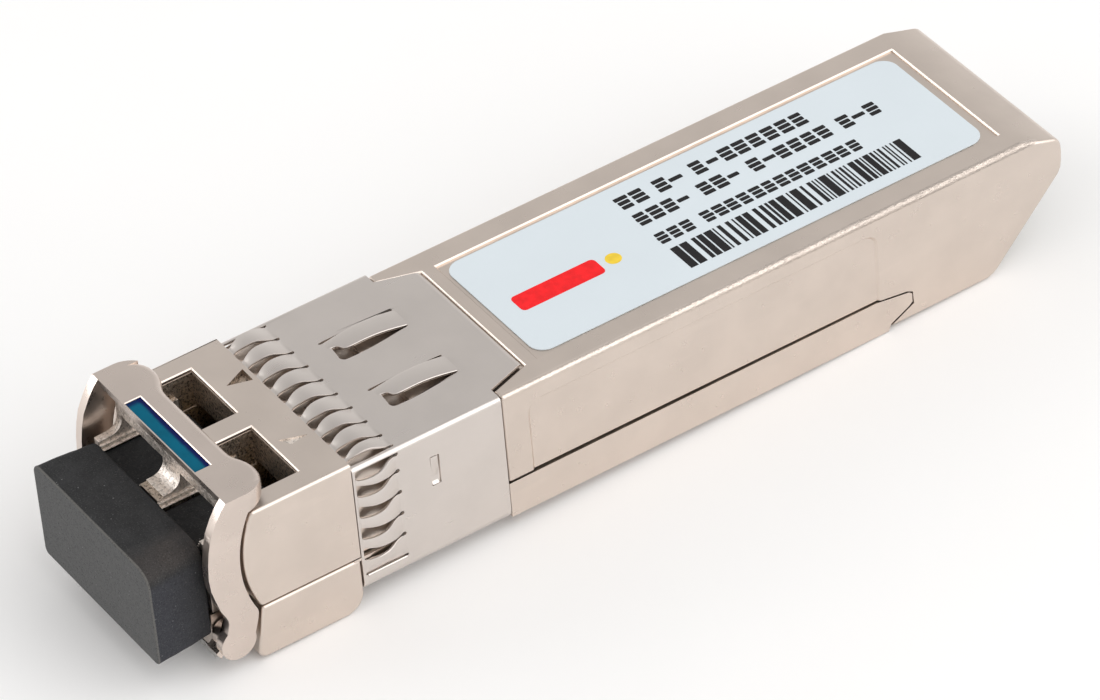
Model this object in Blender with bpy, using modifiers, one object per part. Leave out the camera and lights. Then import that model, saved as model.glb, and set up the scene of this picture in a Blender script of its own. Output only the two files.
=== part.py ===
"""Pluggable optical transceiver module: duplex LC receptacle, bail latch, EMI collar and dust plug.

Every size below is in millimetres from the module's own datum: x runs across from the middle plane, y runs
rearwards from the shoulder behind the nose, and z runs up from the shell's bottom face. world() turns such a
point into metres in the part's frame, whose origin is the bottom centre of the whole module.
"""

import math

import bmesh
import bpy
from mathutils import Matrix, Vector

MM = 0.001

# Shell, from the pluggable module standard.
SHELL_HALF_WIDTH = 6.7
SHELL_HEIGHT = 8.5
SHELL_REAR = 47.5
SEAM_Z = 2.42
SEAM_GAP = 0.1
WALL_INNER_X = 5.75
CEILING_Z = 7.6
FLOOR_Z = 0.9
CORNER_BEVEL = 0.22

# Shell ends: the hook that closes the seam, the slanted lower rear corner and the ramp on top.
HOOK_ROOT_Y = 34.6
BOTTOM_SHELL_REAR = 35.2
HOOK_TIP_Y = 36.9
SLANT_START = (42.6, 0.2)
SLANT_END_Z = 5.4
RAMP_START_Y = 44.9
RAMP_END_Z = 7.85

# Part of the shells that the collar wraps.
WRAPPED_HALF_WIDTH = 6.55
WRAPPED_TOP_Z = 8.35
WRAPPED_BOTTOM_Z = 0.15
WRAPPED_REAR = 9.75
WRAPPED_CHAMFER = 0.75

# Nose.
NOSE_HALF_WIDTH = 6.85
NOSE_TOP_Z = 9.05
NOSE_BOTTOM_Z = -1.15
NOSE_FRONT_Y = -8.7
UPPER_CORE_HALF_WIDTH = 5.7
LOWER_CORE_HALF_WIDTH = 5.35
NOSE_WALL_REAR_Y = 1.5
PLATE_ARC_CENTER = (0.32, 5.7)
PLATE_ARC_RADIUS = 7.38
BAIL_ARC_RADIUS = 7.62
FRONT_SCOOP_CENTER = (-8.55, 8.55)
FRONT_SCOOP_RADIUS = 1.25

# LC ports, a pair at the connector's standard pitch.
PORT_X = 3.125
OPTICAL_Z = 4.45
PORT_HALF_WIDTH = 2.255
PORT_Z = (2.1, 6.75)
PORT_REAR_Y = -0.5
CHANNEL_X = (1.17, 4.9)
WINDOW_X = (0.77, 5.43)
WINDOW_Y = (-5.9, -2.45)
LEDGE_Z = 7.65
LEDGE_REAR_Y = -3.6
BARREL_HOLE_RADIUS = 1.62

# Label and its recess.
RECESS_HALF_WIDTH = 5.05
RECESS_Y = (13.2, 44.35)
RECESS_Z = 8.28
LABEL_HALF_WIDTH = 4.8
LABEL_Y = (13.45, 43.8)
LABEL_Z = (8.33, 8.43)
LABEL_CORNER = 1.0

# Shallow panel on each side of the top shell.
PANEL_Y = (11.5, 34.6)
PANEL_TOP_Z = 7.17
PANEL_DEPTH = 0.07
PANEL_CORNER = 0.7

# EMI collar.
SHEET = 0.18
COLLAR_HALF_WIDTH = 6.85
COLLAR_TOP_Z = 8.65
COLLAR_BOTTOM_Z = -0.1
COLLAR_TOP_RADIUS = 0.3
COLLAR_BOTTOM_RADIUS = 1.0
COLLAR_REAR = 9.65
COLLAR_TONGUE_REAR = 12.16
# Along each finger: distance from the front, height of the crown, half width of the slot beside it.
FINGER_ROWS = (
    (0.38, 0.0, 0.3), (0.65, 0.2, 0.36), (1.05, 0.38, 0.32), (1.5, 0.42, 0.25),
    (1.95, 0.32, 0.15), (2.4, 0.13, 0.08), (2.8, 0.0, 0.08),
)
SLOT_NARROW = 0.08
COLLAR_FRONT = 0.05
LATCH_OPENING = (3.0, 5.6)
TOP_SLOTS = (0.74, 2.21, 3.69, 5.16, 6.42)
SIDE_SLOTS = (8.2, 6.95, 5.5, 4.05, 2.6, 1.08)
BOTTOM_SLOTS = (5.65, 4.35)
LANCE_X = ((-3.3, -1.35), (1.72, 3.5))
LANCE_Y = (4.5, 9.1)
LANCE_RISE = 0.42
TAB_WINDOW = ((4.87, 5.42), (4.95, 6.95))

# Bail.
BAIL_PIVOT = (-7.95, 0.75)
LOBE_RADIUS = 1.08
ARM_INNER_X = 6.25
BRIDGE_TOP_Z = 10.5
BRIDGE_BOTTOM_Z = 9.3
BRIDGE_FRONT_Y = -7.7
LIP_BOTTOM_Z = 10.0
BRIDGE_REAR_Y = -5.3
BRIDGE_CORNER_REAR_Y = -4.75
BRIDGE_CORNER = 1.2
COLOR_BAR_HALF_WIDTH = 3.6
COLOR_BAR_Y = (-7.5, -6.6)
COLOR_BAR_DEPTH = 0.18
HUB_INNER_X = 5.45
HUB_RADIUS = 0.9
CAM_REACH = 1.3
PIN_RADIUS = 0.45
PIN_BORE = 0.52

# Latch rocker under the nose.
ROCKER_PIVOT = (-4.9, -0.4)
ROCKER_HALF_WIDTH = 2.6
ROCKER_BAR_HALF_WIDTH = 5.3
ROCKER_THICKNESS = 0.45
ROCKER_HUB_RADIUS = 0.7
ROCKER_PIN_RADIUS = 0.33
ROCKER_PIN_BORE = 0.4
ROCKER_REAR_Y = 4.9
BOSS_SHOULDER_Y = 2.5
BOSS_TIP_Y = 4.7
BOSS_WIDTH = 2.6
BOSS_BOTTOM_Z = -0.45
POCKET_HALF_WIDTH = 2.85

# Dust plug.
PLUG_FRONT_Y = -12.45
PLUG_REAR_Y = -8.95
PLUG_FRONT_HALF_WIDTH = 6.0
PLUG_REAR_HALF_WIDTH = 5.6
PLUG_Z = (0.9, 7.35)
PLUG_TOP_RADII = (1.1, 0.65)
PLUG_BOTTOM_RADIUS = 0.4
PRONG_HALF_WIDTH = 2.1
PRONG_HALF_HEIGHT = 2.1
PRONG_REAR_Y = -3.2
PRONG_BORE = 1.75

# Circuit board.
BOARD_Z = (2.25, 3.25)
BOARD_Y = (11.5, 44.3)
BOARD_HALF_WIDTH = 5.5
BOARD_EDGE_HALF_WIDTH = 4.6
BOARD_EDGE_START_Y = 36.5
CONTACTS_A_SIDE = 10
CONTACT_PITCH = 0.8

# The part's frame: its origin is the bottom centre of the module with its plug.
DATUM = Vector((0.0, -(SHELL_REAR + PLUG_FRONT_Y) / 2, -NOSE_BOTTOM_Z))

MATERIALS = {
    "nickel_shell": ((0.70, 0.64, 0.58), 0.32, 1.0),
    "nickel_bail": ((0.70, 0.63, 0.58), 0.28, 1.0),
    "sheet_steel": ((0.68, 0.65, 0.61), 0.30, 1.0),
    "pin_steel": ((0.55, 0.55, 0.56), 0.25, 1.0),
    "enamel_blue": ((0.01, 0.19, 0.26), 0.35, 0.0),
    "plug_rubber": ((0.075, 0.075, 0.08), 0.75, 0.0),
    "label_film": ((0.80, 0.85, 0.88), 0.45, 0.0),
    "board_green": ((0.03, 0.19, 0.08), 0.45, 0.0),
    "can_gold": ((0.75, 0.58, 0.30), 0.30, 1.0),
    "sleeve_ceramic": ((0.86, 0.85, 0.80), 0.35, 0.0),
    "holder_plastic": ((0.05, 0.05, 0.06), 0.55, 0.0),
    "flex_amber": ((0.62, 0.33, 0.06), 0.40, 0.0),
    "chip_black": ((0.03, 0.03, 0.03), 0.50, 0.0),
    "inductor_gray": ((0.18, 0.18, 0.19), 0.60, 0.0),
    "crystal_silver": ((0.72, 0.72, 0.70), 0.25, 1.0),
    "capacitor_tan": ((0.48, 0.33, 0.20), 0.50, 0.0),
    "thermal_pink": ((0.55, 0.38, 0.42), 0.80, 0.0),
}


def clear_scene():
    for obj in list(bpy.data.objects):
        bpy.data.objects.remove(obj, do_unlink=True)


def new_collection(name):
    collection = bpy.data.collections.new(name)
    bpy.context.scene.collection.children.link(collection)
    return collection


def world(x, y, z):
    return (Vector((x, y, z)) + DATUM) * MM


def material(name):
    if name in bpy.data.materials:
        return bpy.data.materials[name]
    color, roughness, metallic = MATERIALS[name]
    made = bpy.data.materials.new(name)
    made.use_nodes = True
    shader = made.node_tree.nodes["Principled BSDF"]
    shader.inputs["Base Color"].default_value = (*color, 1.0)
    shader.inputs["Roughness"].default_value = roughness
    shader.inputs["Metallic"].default_value = metallic
    made.diffuse_color = (*color, 1.0)
    return made


def mesh_object(name, mesh, collection):
    obj = bpy.data.objects.new(name, mesh)
    collection.objects.link(obj)
    return obj


def finish(obj, material_name, pivot=None):
    """Gives a sub-part its material and, if it moves, an origin on its axis."""
    obj.data.materials.clear()
    obj.data.materials.append(material(material_name))
    if pivot is not None:
        origin = world(*pivot)
        obj.data.transform(Matrix.Translation(-origin))
        obj.location = origin
    return obj


def helper(obj):
    """Turns an object into a hidden operand of a Boolean."""
    for owner in list(obj.users_collection):
        owner.objects.unlink(obj)
    cutters.objects.link(obj)
    obj.hide_render = True
    obj.display_type = "WIRE"
    return obj


def boolean(target, operand, operation):
    modifier = target.modifiers.new(operation.lower(), "BOOLEAN")
    modifier.operation = operation
    modifier.solver = "EXACT"
    modifier.object = helper(operand)


def carve(target, *operands):
    for operand in operands:
        boolean(target, operand, "DIFFERENCE")


def fuse(target, *operands):
    for operand in operands:
        boolean(target, operand, "UNION")


def bevel(obj, width, segments=2, angle_deg=40):
    modifier = obj.modifiers.new("bevel", "BEVEL")
    modifier.width = width * MM
    modifier.segments = segments
    modifier.limit_method = "ANGLE"
    modifier.angle_limit = math.radians(angle_deg)
    return obj


def box(name, xs, ys, zs):
    mesh = bpy.data.meshes.new(name)
    shape = bmesh.new()
    bmesh.ops.create_cube(shape, size=1.0)
    low = world(xs[0], ys[0], zs[0])
    high = world(xs[1], ys[1], zs[1])
    for vertex in shape.verts:
        for axis in range(3):
            vertex.co[axis] = high[axis] if vertex.co[axis] > 0 else low[axis]
    shape.to_mesh(mesh)
    shape.free()
    return mesh_object(name, mesh, parts)


def prism(name, outline, axis, span):
    """A flat outline extruded along x, y or z. The outline lists (y, z), (x, z) or (x, y) points."""
    curve = bpy.data.curves.new(name + "_outline", "CURVE")
    curve.dimensions = "2D"
    curve.fill_mode = "BOTH"
    curve.extrude = (span[1] - span[0]) / 2 * MM
    spline = curve.splines.new("POLY")
    spline.points.add(len(outline) - 1)
    for point, (u, v) in zip(spline.points, outline):
        point.co = (u * MM, v * MM, 0.0, 1.0)
    spline.use_cyclic_u = True
    middle = (span[0] + span[1]) / 2
    turned = {
        "x": (Matrix(((0, 0, 1), (1, 0, 0), (0, 1, 0))), world(middle, 0, 0)),
        "y": (Matrix(((1, 0, 0), (0, 0, -1), (0, 1, 0))), world(0, middle, 0)),
        "z": (Matrix.Identity(3), world(0, 0, middle)),
    }[axis]
    source = bpy.data.objects.new(name + "_outline", curve)
    parts.objects.link(source)
    graph = bpy.context.evaluated_depsgraph_get()
    mesh = bpy.data.meshes.new_from_object(source.evaluated_get(graph))
    bpy.data.objects.remove(source, do_unlink=True)
    shape = bmesh.new()
    shape.from_mesh(mesh)
    bmesh.ops.remove_doubles(shape, verts=shape.verts, dist=1e-6)
    bmesh.ops.dissolve_limit(shape, angle_limit=math.radians(0.5), verts=shape.verts, edges=shape.edges)
    bmesh.ops.transform(shape, matrix=Matrix.Translation(turned[1]) @ turned[0].to_4x4(), verts=shape.verts)
    bmesh.ops.recalc_face_normals(shape, faces=shape.faces)
    shape.to_mesh(mesh)
    shape.free()
    mesh.materials.clear()
    mesh.name = name
    return mesh_object(name, mesh, parts)


def cylinder(name, axis, center, radius, length, sides=20):
    """A round bar along x, y or z about its centre."""
    mesh = bpy.data.meshes.new(name)
    shape = bmesh.new()
    bmesh.ops.create_cone(
        shape, cap_ends=True, segments=sides, radius1=radius * MM, radius2=radius * MM, depth=length * MM
    )
    turn = {
        "x": Matrix.Rotation(math.pi / 2, 4, "Y"),
        "y": Matrix.Rotation(math.pi / 2, 4, "X"),
        "z": Matrix.Identity(4),
    }[axis]
    bmesh.ops.transform(shape, matrix=Matrix.Translation(world(*center)) @ turn, verts=shape.verts)
    shape.to_mesh(mesh)
    shape.free()
    mesh.shade_smooth()
    mesh.set_sharp_from_angle(angle=math.radians(40))
    return mesh_object(name, mesh, parts)


def turned_along_y(name, profile, x, z, closed=False, steps=24):
    """A turned piece. The profile lists (radius, y) from the rear end forward down the outside."""
    mesh = bpy.data.meshes.new(name)
    shape = bmesh.new()
    points = [shape.verts.new((radius * MM, 0.0, y * MM)) for radius, y in profile]
    for first, second in zip(points, points[1:] + points[:1] if closed else points[1:]):
        shape.edges.new((first, second))
    shape.to_mesh(mesh)
    shape.free()
    obj = mesh_object(name, mesh, parts)
    obj.location = world(x, 0, z)
    obj.rotation_euler = (-math.pi / 2, 0.0, 0.0)
    screw = obj.modifiers.new("screw", "SCREW")
    screw.axis = "Z"
    screw.steps = steps
    screw.render_steps = steps
    screw.use_merge_vertices = True
    screw.merge_threshold = 1e-6
    screw.use_smooth_shade = True
    return obj


def arc(center, radius, start_deg, end_deg, steps):
    """Points on an arc, with both ends."""
    points = []
    for step in range(steps + 1):
        angle = math.radians(start_deg + (end_deg - start_deg) * step / steps)
        points.append((center[0] + radius * math.cos(angle), center[1] + radius * math.sin(angle)))
    return points


def arc_angle(z, radius):
    """The angle at which the nose's side arc reaches a height, on its front side."""
    return 180.0 - math.degrees(math.asin((z - PLATE_ARC_CENTER[1]) / radius))


def rounded_rectangle(xs, ys, radius, steps=5):
    points = []
    corners = ((xs[1], ys[1], 0), (xs[0], ys[1], 90), (xs[0], ys[0], 180), (xs[1], ys[0], 270))
    for x, y, start in corners:
        center_x = x - radius if x == xs[1] else x + radius
        center_y = y - radius if y == ys[1] else y + radius
        points += arc((center_x, center_y), radius, start, start + 90, steps)
    return points


def both_sides(xs):
    """The span on the +x side, then its mirror image."""
    return xs, (-xs[1], -xs[0])


def port_cutters():
    """The hollows of the LC ports: body, latch channel, window with its ledge, and the barrel's hole."""
    made = []
    port_span = (PORT_X - PORT_HALF_WIDTH, PORT_X + PORT_HALF_WIDTH)
    window_outline = [
        (WINDOW_Y[0], NOSE_TOP_Z + 1),
        (WINDOW_Y[0], LEDGE_Z),
        (LEDGE_REAR_Y, LEDGE_Z),
        (LEDGE_REAR_Y, PORT_Z[1] - 0.3),
        (WINDOW_Y[1], PORT_Z[1] - 0.3),
        (WINDOW_Y[1], NOSE_TOP_Z + 1),
    ]
    front = NOSE_FRONT_Y - 1
    spans = zip(("right", "left"), both_sides(port_span), both_sides(CHANNEL_X), both_sides(WINDOW_X))
    for side, port, channel, window in spans:
        made.append(box(f"cut_port_{side}", port, (front, PORT_REAR_Y), PORT_Z))
        made.append(box(f"cut_channel_{side}", channel, (front, LEDGE_REAR_Y + 0.3), (PORT_Z[1] - 0.2, 8.3)))
        made.append(prism(f"cut_window_{side}", window_outline, "x", window))
        middle = (sum(port) / 2, 0.5, OPTICAL_Z)
        made.append(cylinder(f"cut_barrel_{side}", "y", middle, BARREL_HOLE_RADIUS, 4.0))
    return made


def make_top_shell():
    seam = SEAM_Z + SEAM_GAP / 2
    low = seam - 1.0
    outline = [
        (WRAPPED_REAR, SLANT_START[1]),
        SLANT_START,
        (SHELL_REAR, SLANT_END_Z),
        (SHELL_REAR, RAMP_END_Z),
        (RAMP_START_Y, SHELL_HEIGHT),
        (WRAPPED_REAR, SHELL_HEIGHT),
    ]
    shell = bevel(prism("top_shell", outline, "x", (-SHELL_HALF_WIDTH, SHELL_HALF_WIDTH)), CORNER_BEVEL)
    wrapped = box(
        "add_top_wrapped",
        (-WRAPPED_HALF_WIDTH, WRAPPED_HALF_WIDTH),
        (-0.5, WRAPPED_REAR + 0.5),
        (low, WRAPPED_TOP_Z),
    )
    core_outline = [(-0.2, low), (-0.2, NOSE_TOP_Z - 0.02)]
    core_outline += [(FRONT_SCOOP_CENTER[0] + FRONT_SCOOP_RADIUS, NOSE_TOP_Z - 0.02)]
    core_outline += arc(FRONT_SCOOP_CENTER, FRONT_SCOOP_RADIUS, 0, -97, 6)
    core_outline += [(NOSE_FRONT_Y, low)]
    core = prism("add_upper_core", core_outline, "x", (-UPPER_CORE_HALF_WIDTH, UPPER_CORE_HALF_WIDTH))
    plate_outline = [(0.0, low), (0.0, NOSE_TOP_Z)]
    plate_outline += arc(
        PLATE_ARC_CENTER,
        PLATE_ARC_RADIUS,
        arc_angle(NOSE_TOP_Z, PLATE_ARC_RADIUS),
        arc_angle(low, PLATE_ARC_RADIUS),
        12,
    )
    plates = prism("add_upper_plates", plate_outline, "x", (-NOSE_HALF_WIDTH, NOSE_HALF_WIDTH))
    bevel(plates, 0.2, segments=2, angle_deg=50)
    fuse(shell, wrapped, plates, core)

    seam_outline = [
        (NOSE_FRONT_Y - 1, seam),
        (HOOK_ROOT_Y, seam),
        (HOOK_TIP_Y + SEAM_GAP, 2.12),
        (HOOK_TIP_Y + SEAM_GAP, 1.12),
        (BOTTOM_SHELL_REAR + 0.3, 0.34),
        (BOTTOM_SHELL_REAR + 0.3, -1.0),
        (NOSE_FRONT_Y - 1, -1.0),
    ]
    carve(shell, prism("cut_below_seam", seam_outline, "x", (-SHELL_HALF_WIDTH - 1, SHELL_HALF_WIDTH + 1)))
    hollow_outline = [
        (NOSE_WALL_REAR_Y, -1.0),
        (NOSE_WALL_REAR_Y, CEILING_Z),
        (44.0, CEILING_Z),
        (44.3, CEILING_Z - 0.15),
        (SHELL_REAR + 1, CEILING_Z - 0.15),
        (SHELL_REAR + 1, -1.0),
    ]
    carve(shell, prism("cut_top_hollow", hollow_outline, "x", (-WALL_INNER_X, WALL_INNER_X)))
    collar_seat = [(-6.05, 9.0), (6.05, 9.0), (6.05, 9.85), (5.2, 12.32), (-5.2, 12.32), (-6.05, 9.85)]
    carve(shell, prism("cut_collar_seat", collar_seat, "z", (WRAPPED_TOP_Z, SHELL_HEIGHT + 1)))
    carve(
        shell,
        box(
            "cut_label_recess",
            (-RECESS_HALF_WIDTH, RECESS_HALF_WIDTH),
            RECESS_Y,
            (RECESS_Z, SHELL_HEIGHT + 1),
        ),
    )
    panel_outline = [(PANEL_Y[1], SEAM_Z - 1)]
    panel_outline += arc((PANEL_Y[1] - PANEL_CORNER, PANEL_TOP_Z - PANEL_CORNER), PANEL_CORNER, 0, 90, 4)
    panel_outline += arc((PANEL_Y[0] + PANEL_CORNER, PANEL_TOP_Z - PANEL_CORNER), PANEL_CORNER, 90, 180, 4)
    panel_outline += [(PANEL_Y[0], SEAM_Z - 1)]
    depth_x = SHELL_HALF_WIDTH - PANEL_DEPTH
    for side, span in zip(("right", "left"), both_sides((depth_x, depth_x + 1))):
        carve(shell, prism(f"cut_panel_{side}", panel_outline, "x", span))
    arrows = {
        "cut_arrow_in": [(-3.05, -1.7), (-2.5, -0.35), (-3.6, -0.35)],
        "cut_arrow_out": [(2.6, -1.75), (3.6, -1.75), (3.1, -0.4)],
    }
    for name, outline in arrows.items():
        carve(shell, prism(name, outline, "z", (NOSE_TOP_Z - 0.15, NOSE_TOP_Z + 1)))
    for number, (low_x, high_x) in enumerate(LANCE_X, 1):
        pocket_y = (LANCE_Y[0] - 0.15, LANCE_Y[0] + 1.1)
        pocket_z = (WRAPPED_TOP_Z - 0.4, WRAPPED_TOP_Z + 1)
        carve(shell, box(f"cut_lance_pocket_{number}", (low_x - 0.1, high_x + 0.1), pocket_y, pocket_z))
    carve(shell, *port_hollows)
    return finish(shell, "nickel_shell")


def make_bottom_shell():
    seam = SEAM_Z - SEAM_GAP / 2
    outline = [
        (WRAPPED_REAR, 0.0),
        (BOTTOM_SHELL_REAR, 0.0),
        (BOTTOM_SHELL_REAR + 0.2, 0.45),
        (HOOK_TIP_Y, 1.22),
        (HOOK_TIP_Y, 2.02),
        (HOOK_ROOT_Y, seam),
        (WRAPPED_REAR, seam),
    ]
    shell = bevel(prism("bottom_shell", outline, "x", (-SHELL_HALF_WIDTH, SHELL_HALF_WIDTH)), 0.12)
    wide = WRAPPED_HALF_WIDTH
    wrapped_outline = [
        (-wide, seam),
        (-wide, WRAPPED_BOTTOM_Z + WRAPPED_CHAMFER),
        (-wide + WRAPPED_CHAMFER, WRAPPED_BOTTOM_Z),
        (wide - WRAPPED_CHAMFER, WRAPPED_BOTTOM_Z),
        (wide, WRAPPED_BOTTOM_Z + WRAPPED_CHAMFER),
        (wide, seam),
    ]
    wrapped = prism("add_bottom_wrapped", wrapped_outline, "y", (-0.5, WRAPPED_REAR + 0.5))
    plate_outline = [(0.0, seam)]
    plate_outline += arc((-1.25, NOSE_BOTTOM_Z + 1.25), 1.25, 0, -90, 5)
    plate_outline += arc((-6.25, NOSE_BOTTOM_Z + 0.55), 0.55, 270, 185, 4)
    plate_outline += [(-6.3, seam)]
    plates = prism("add_lower_plates", plate_outline, "x", (-NOSE_HALF_WIDTH, NOSE_HALF_WIDTH))
    bevel(plates, 0.15, segments=2, angle_deg=50)
    core = box(
        "add_lower_core",
        (-LOWER_CORE_HALF_WIDTH, LOWER_CORE_HALF_WIDTH),
        (NOSE_FRONT_Y, -2.0),
        (-0.4, seam),
    )
    fuse(shell, wrapped, plates, core)
    for side, span in zip(("right", "left"), both_sides((4.75, WALL_INNER_X + 0.3))):
        fuse(shell, box(f"add_rail_{side}", span, (12.0, 33.5), (0.5, BOARD_Z[0] - 0.06)))

    inner = (-WALL_INNER_X, WALL_INNER_X)
    rail_inner = (-4.7, 4.7)
    above = SEAM_Z + 1
    carve(shell, box("cut_floor_front", inner, (NOSE_WALL_REAR_Y, 6.6), (1.7, above)))
    carve(shell, box("cut_floor_middle", inner, (6.5, 12.0), (FLOOR_Z, above)))
    carve(shell, box("cut_floor_rails", rail_inner, (11.9, 33.6), (FLOOR_Z, above)))
    carve(shell, box("cut_above_rails", inner, (11.8, 40.0), (BOARD_Z[0] - 0.06, above)))
    carve(shell, box("cut_floor_rear", inner, (33.5, 40.0), (FLOOR_Z, above)))
    carve(shell, box("cut_rear_opening", inner, (BOTTOM_SHELL_REAR - 0.3, 40.0), (-1.0, above)))
    pocket = (-POCKET_HALF_WIDTH, POCKET_HALF_WIDTH)
    carve(shell, box("cut_bar_pocket", (-5.6, 5.6), (NOSE_FRONT_Y - 1, -6.75), (-3.0, -0.4)))
    carve(shell, box("cut_hub_pocket", pocket, (-7.0, -0.8), (-3.0, 0.55)))
    carve(shell, box("cut_arm_pocket", pocket, (-0.9, 5.5), (-3.0, 1.35)))
    carve(shell, cylinder("cut_rocker_pin", "x", (0, *ROCKER_PIVOT), ROCKER_PIN_BORE, 7.8))
    carve(shell, cylinder("cut_bail_pin", "x", (0, *BAIL_PIVOT), PIN_BORE, 12.0))
    carve(shell, *port_hollows)
    return finish(shell, "nickel_shell")


def collar_columns():
    """Columns round the collar, clockwise seen from the front.

    Each is (x, z, outward, crowned, widening, gap to the next). Widening is the direction in which the column
    moves as the slot beside it grows wider, and is None where the edge stays straight.
    """
    up = (0.0, 1.0)
    right = (1.0, 0.0)
    down = (0.0, -1.0)
    half = COLLAR_HALF_WIDTH
    columns = []
    centers = sorted([-slot for slot in TOP_SLOTS] + list(TOP_SLOTS))
    for slot in centers:
        first, last = slot == centers[0], slot == centers[-1]
        columns.append((slot - SLOT_NARROW, COLLAR_TOP_Z, up, not first, None if first else (-1, 0), "slot"))
        columns.append((slot + SLOT_NARROW, COLLAR_TOP_Z, up, not last, None if last else (1, 0), None))
    top_center = (half - COLLAR_TOP_RADIUS, COLLAR_TOP_Z - COLLAR_TOP_RADIUS)
    for x, z in arc(top_center, COLLAR_TOP_RADIUS, 65, 25, 2):
        columns.append((x, z, up, False, None, None))
    for slot in SIDE_SLOTS:
        first, last = slot == SIDE_SLOTS[0], slot == SIDE_SLOTS[-1]
        straight = first or last
        columns.append((half, slot + SLOT_NARROW, right, not first, None if straight else (0, 1), "slot"))
        columns.append((half, slot - SLOT_NARROW, right, not last, None if last else (0, -1), None))
    bottom_center = (half - COLLAR_BOTTOM_RADIUS, COLLAR_BOTTOM_Z + COLLAR_BOTTOM_RADIUS)
    for x, z in arc(bottom_center, COLLAR_BOTTOM_RADIUS, -12, -84, 4):
        columns.append((x, z, down, False, None, None))
    for slot in BOTTOM_SLOTS:
        first = slot == BOTTOM_SLOTS[0]
        widening = None if first else (1, 0)
        columns.append((slot + SLOT_NARROW, COLLAR_BOTTOM_Z, down, not first, widening, "slot"))
        columns.append((slot - SLOT_NARROW, COLLAR_BOTTOM_Z, down, True, (-1, 0), None))
    columns.append((LATCH_OPENING[0], COLLAR_BOTTOM_Z, down, True, None, "opening"))
    lower = columns[len(centers) * 2:]
    for index, (x, z, outward, crowned, widening, _) in reversed(list(enumerate(lower))):
        mirrored_gap = lower[index - 1][5] if index else None
        if widening:
            widening = (-widening[0], widening[1])
        columns.append((-x, z, (-outward[0], outward[1]), crowned, widening, mirrored_gap))
    return columns


def make_collar():
    columns = collar_columns()
    rows = [(COLLAR_FRONT, 0.0, SLOT_NARROW), *FINGER_ROWS]
    rows += [(y, 0.0, SLOT_NARROW) for y in (LATCH_OPENING[1], COLLAR_REAR, COLLAR_TONGUE_REAR)]
    top_columns = len(TOP_SLOTS) * 4
    edge_x = TOP_SLOTS[-1] - SLOT_NARROW
    narrowing = {COLLAR_REAR: 5.9 / edge_x, COLLAR_TONGUE_REAR: 5.05 / edge_x}
    mesh = bpy.data.meshes.new("emi_collar")
    shape = bmesh.new()
    bmesh.ops.create_grid(shape, x_segments=len(columns), y_segments=len(rows) - 1, size=1.0)
    across = len(columns) + 1
    for vertex in shape.verts:
        row, column = divmod(vertex.index, across)
        x, z, outward, crowned, widening, _ = columns[column % len(columns)]
        y, crown, slot_half = rows[row]
        lift = crown if crowned else 0.0
        if widening:
            x += widening[0] * (slot_half - SLOT_NARROW)
            z += widening[1] * (slot_half - SLOT_NARROW)
        if 0 < column % len(columns) < top_columns - 1:
            x *= narrowing.get(y, 1.0)
        vertex.co = world(x + lift * outward[0], y, z + lift * outward[1])
    doomed = []
    for face in shape.faces:
        corners = [divmod(vertex.index, across) for vertex in face.verts]
        row = min(corner[0] for corner in corners)
        column = min(corner[1] for corner in corners)
        gap = columns[column][5]
        in_fingers = 0 < row <= len(FINGER_ROWS) - 1
        in_opening = row <= len(FINGER_ROWS)
        in_tongue = row == len(rows) - 2
        over_top = 0 < column < top_columns - 2
        cut_away = (gap == "slot" and in_fingers) or (gap == "opening" and in_opening)
        if cut_away or (in_tongue and not over_top):
            doomed.append(face)
    bmesh.ops.delete(shape, geom=doomed, context="FACES")
    loose = [vertex for vertex in shape.verts if not vertex.link_faces]
    bmesh.ops.delete(shape, geom=loose, context="VERTS")
    bmesh.ops.remove_doubles(shape, verts=shape.verts, dist=1e-7)
    shape.to_mesh(mesh)
    shape.free()
    collar = mesh_object("emi_collar", mesh, parts)
    solidify = collar.modifiers.new("sheet", "SOLIDIFY")
    solidify.thickness = SHEET * MM
    solidify.offset = -1.0
    solidify.use_even_offset = True

    for number, span in enumerate(LANCE_X, 1):
        carve(collar, box(f"cut_lance_{number}", span, LANCE_Y, (COLLAR_TOP_Z - 0.6, COLLAR_TOP_Z + 0.6)))
        upper = lance_line(COLLAR_TOP_Z - 0.01)
        lower = lance_line(COLLAR_TOP_Z - SHEET + 0.01)
        tongue = prism(f"add_lance_{number}", upper + lower[::-1], "x", (span[0] + 0.03, span[1] - 0.25))
        fuse(collar, tongue)
    x_span = (COLLAR_HALF_WIDTH - 0.5, COLLAR_HALF_WIDTH + 0.5)
    for side, span in zip(("right", "left"), both_sides(x_span)):
        carve(collar, box(f"cut_tab_{side}", span, *TAB_WINDOW))
    return finish(collar, "sheet_steel")


def lance_line(base_z, steps=8):
    """The bowed line of a raised tongue, rooted at its rear end and turned down at its front end."""
    rear = LANCE_Y[1] + 0.3
    front = LANCE_Y[0] + 0.3
    points = [(rear, base_z)]
    for step in range(steps + 1):
        along = step / steps
        bow = LANCE_RISE * math.sin(math.pi * along ** 1.2) - 0.35 * along ** 4
        points.append((LANCE_Y[1] + (front - LANCE_Y[1]) * along, base_z + bow))
    return points


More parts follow.
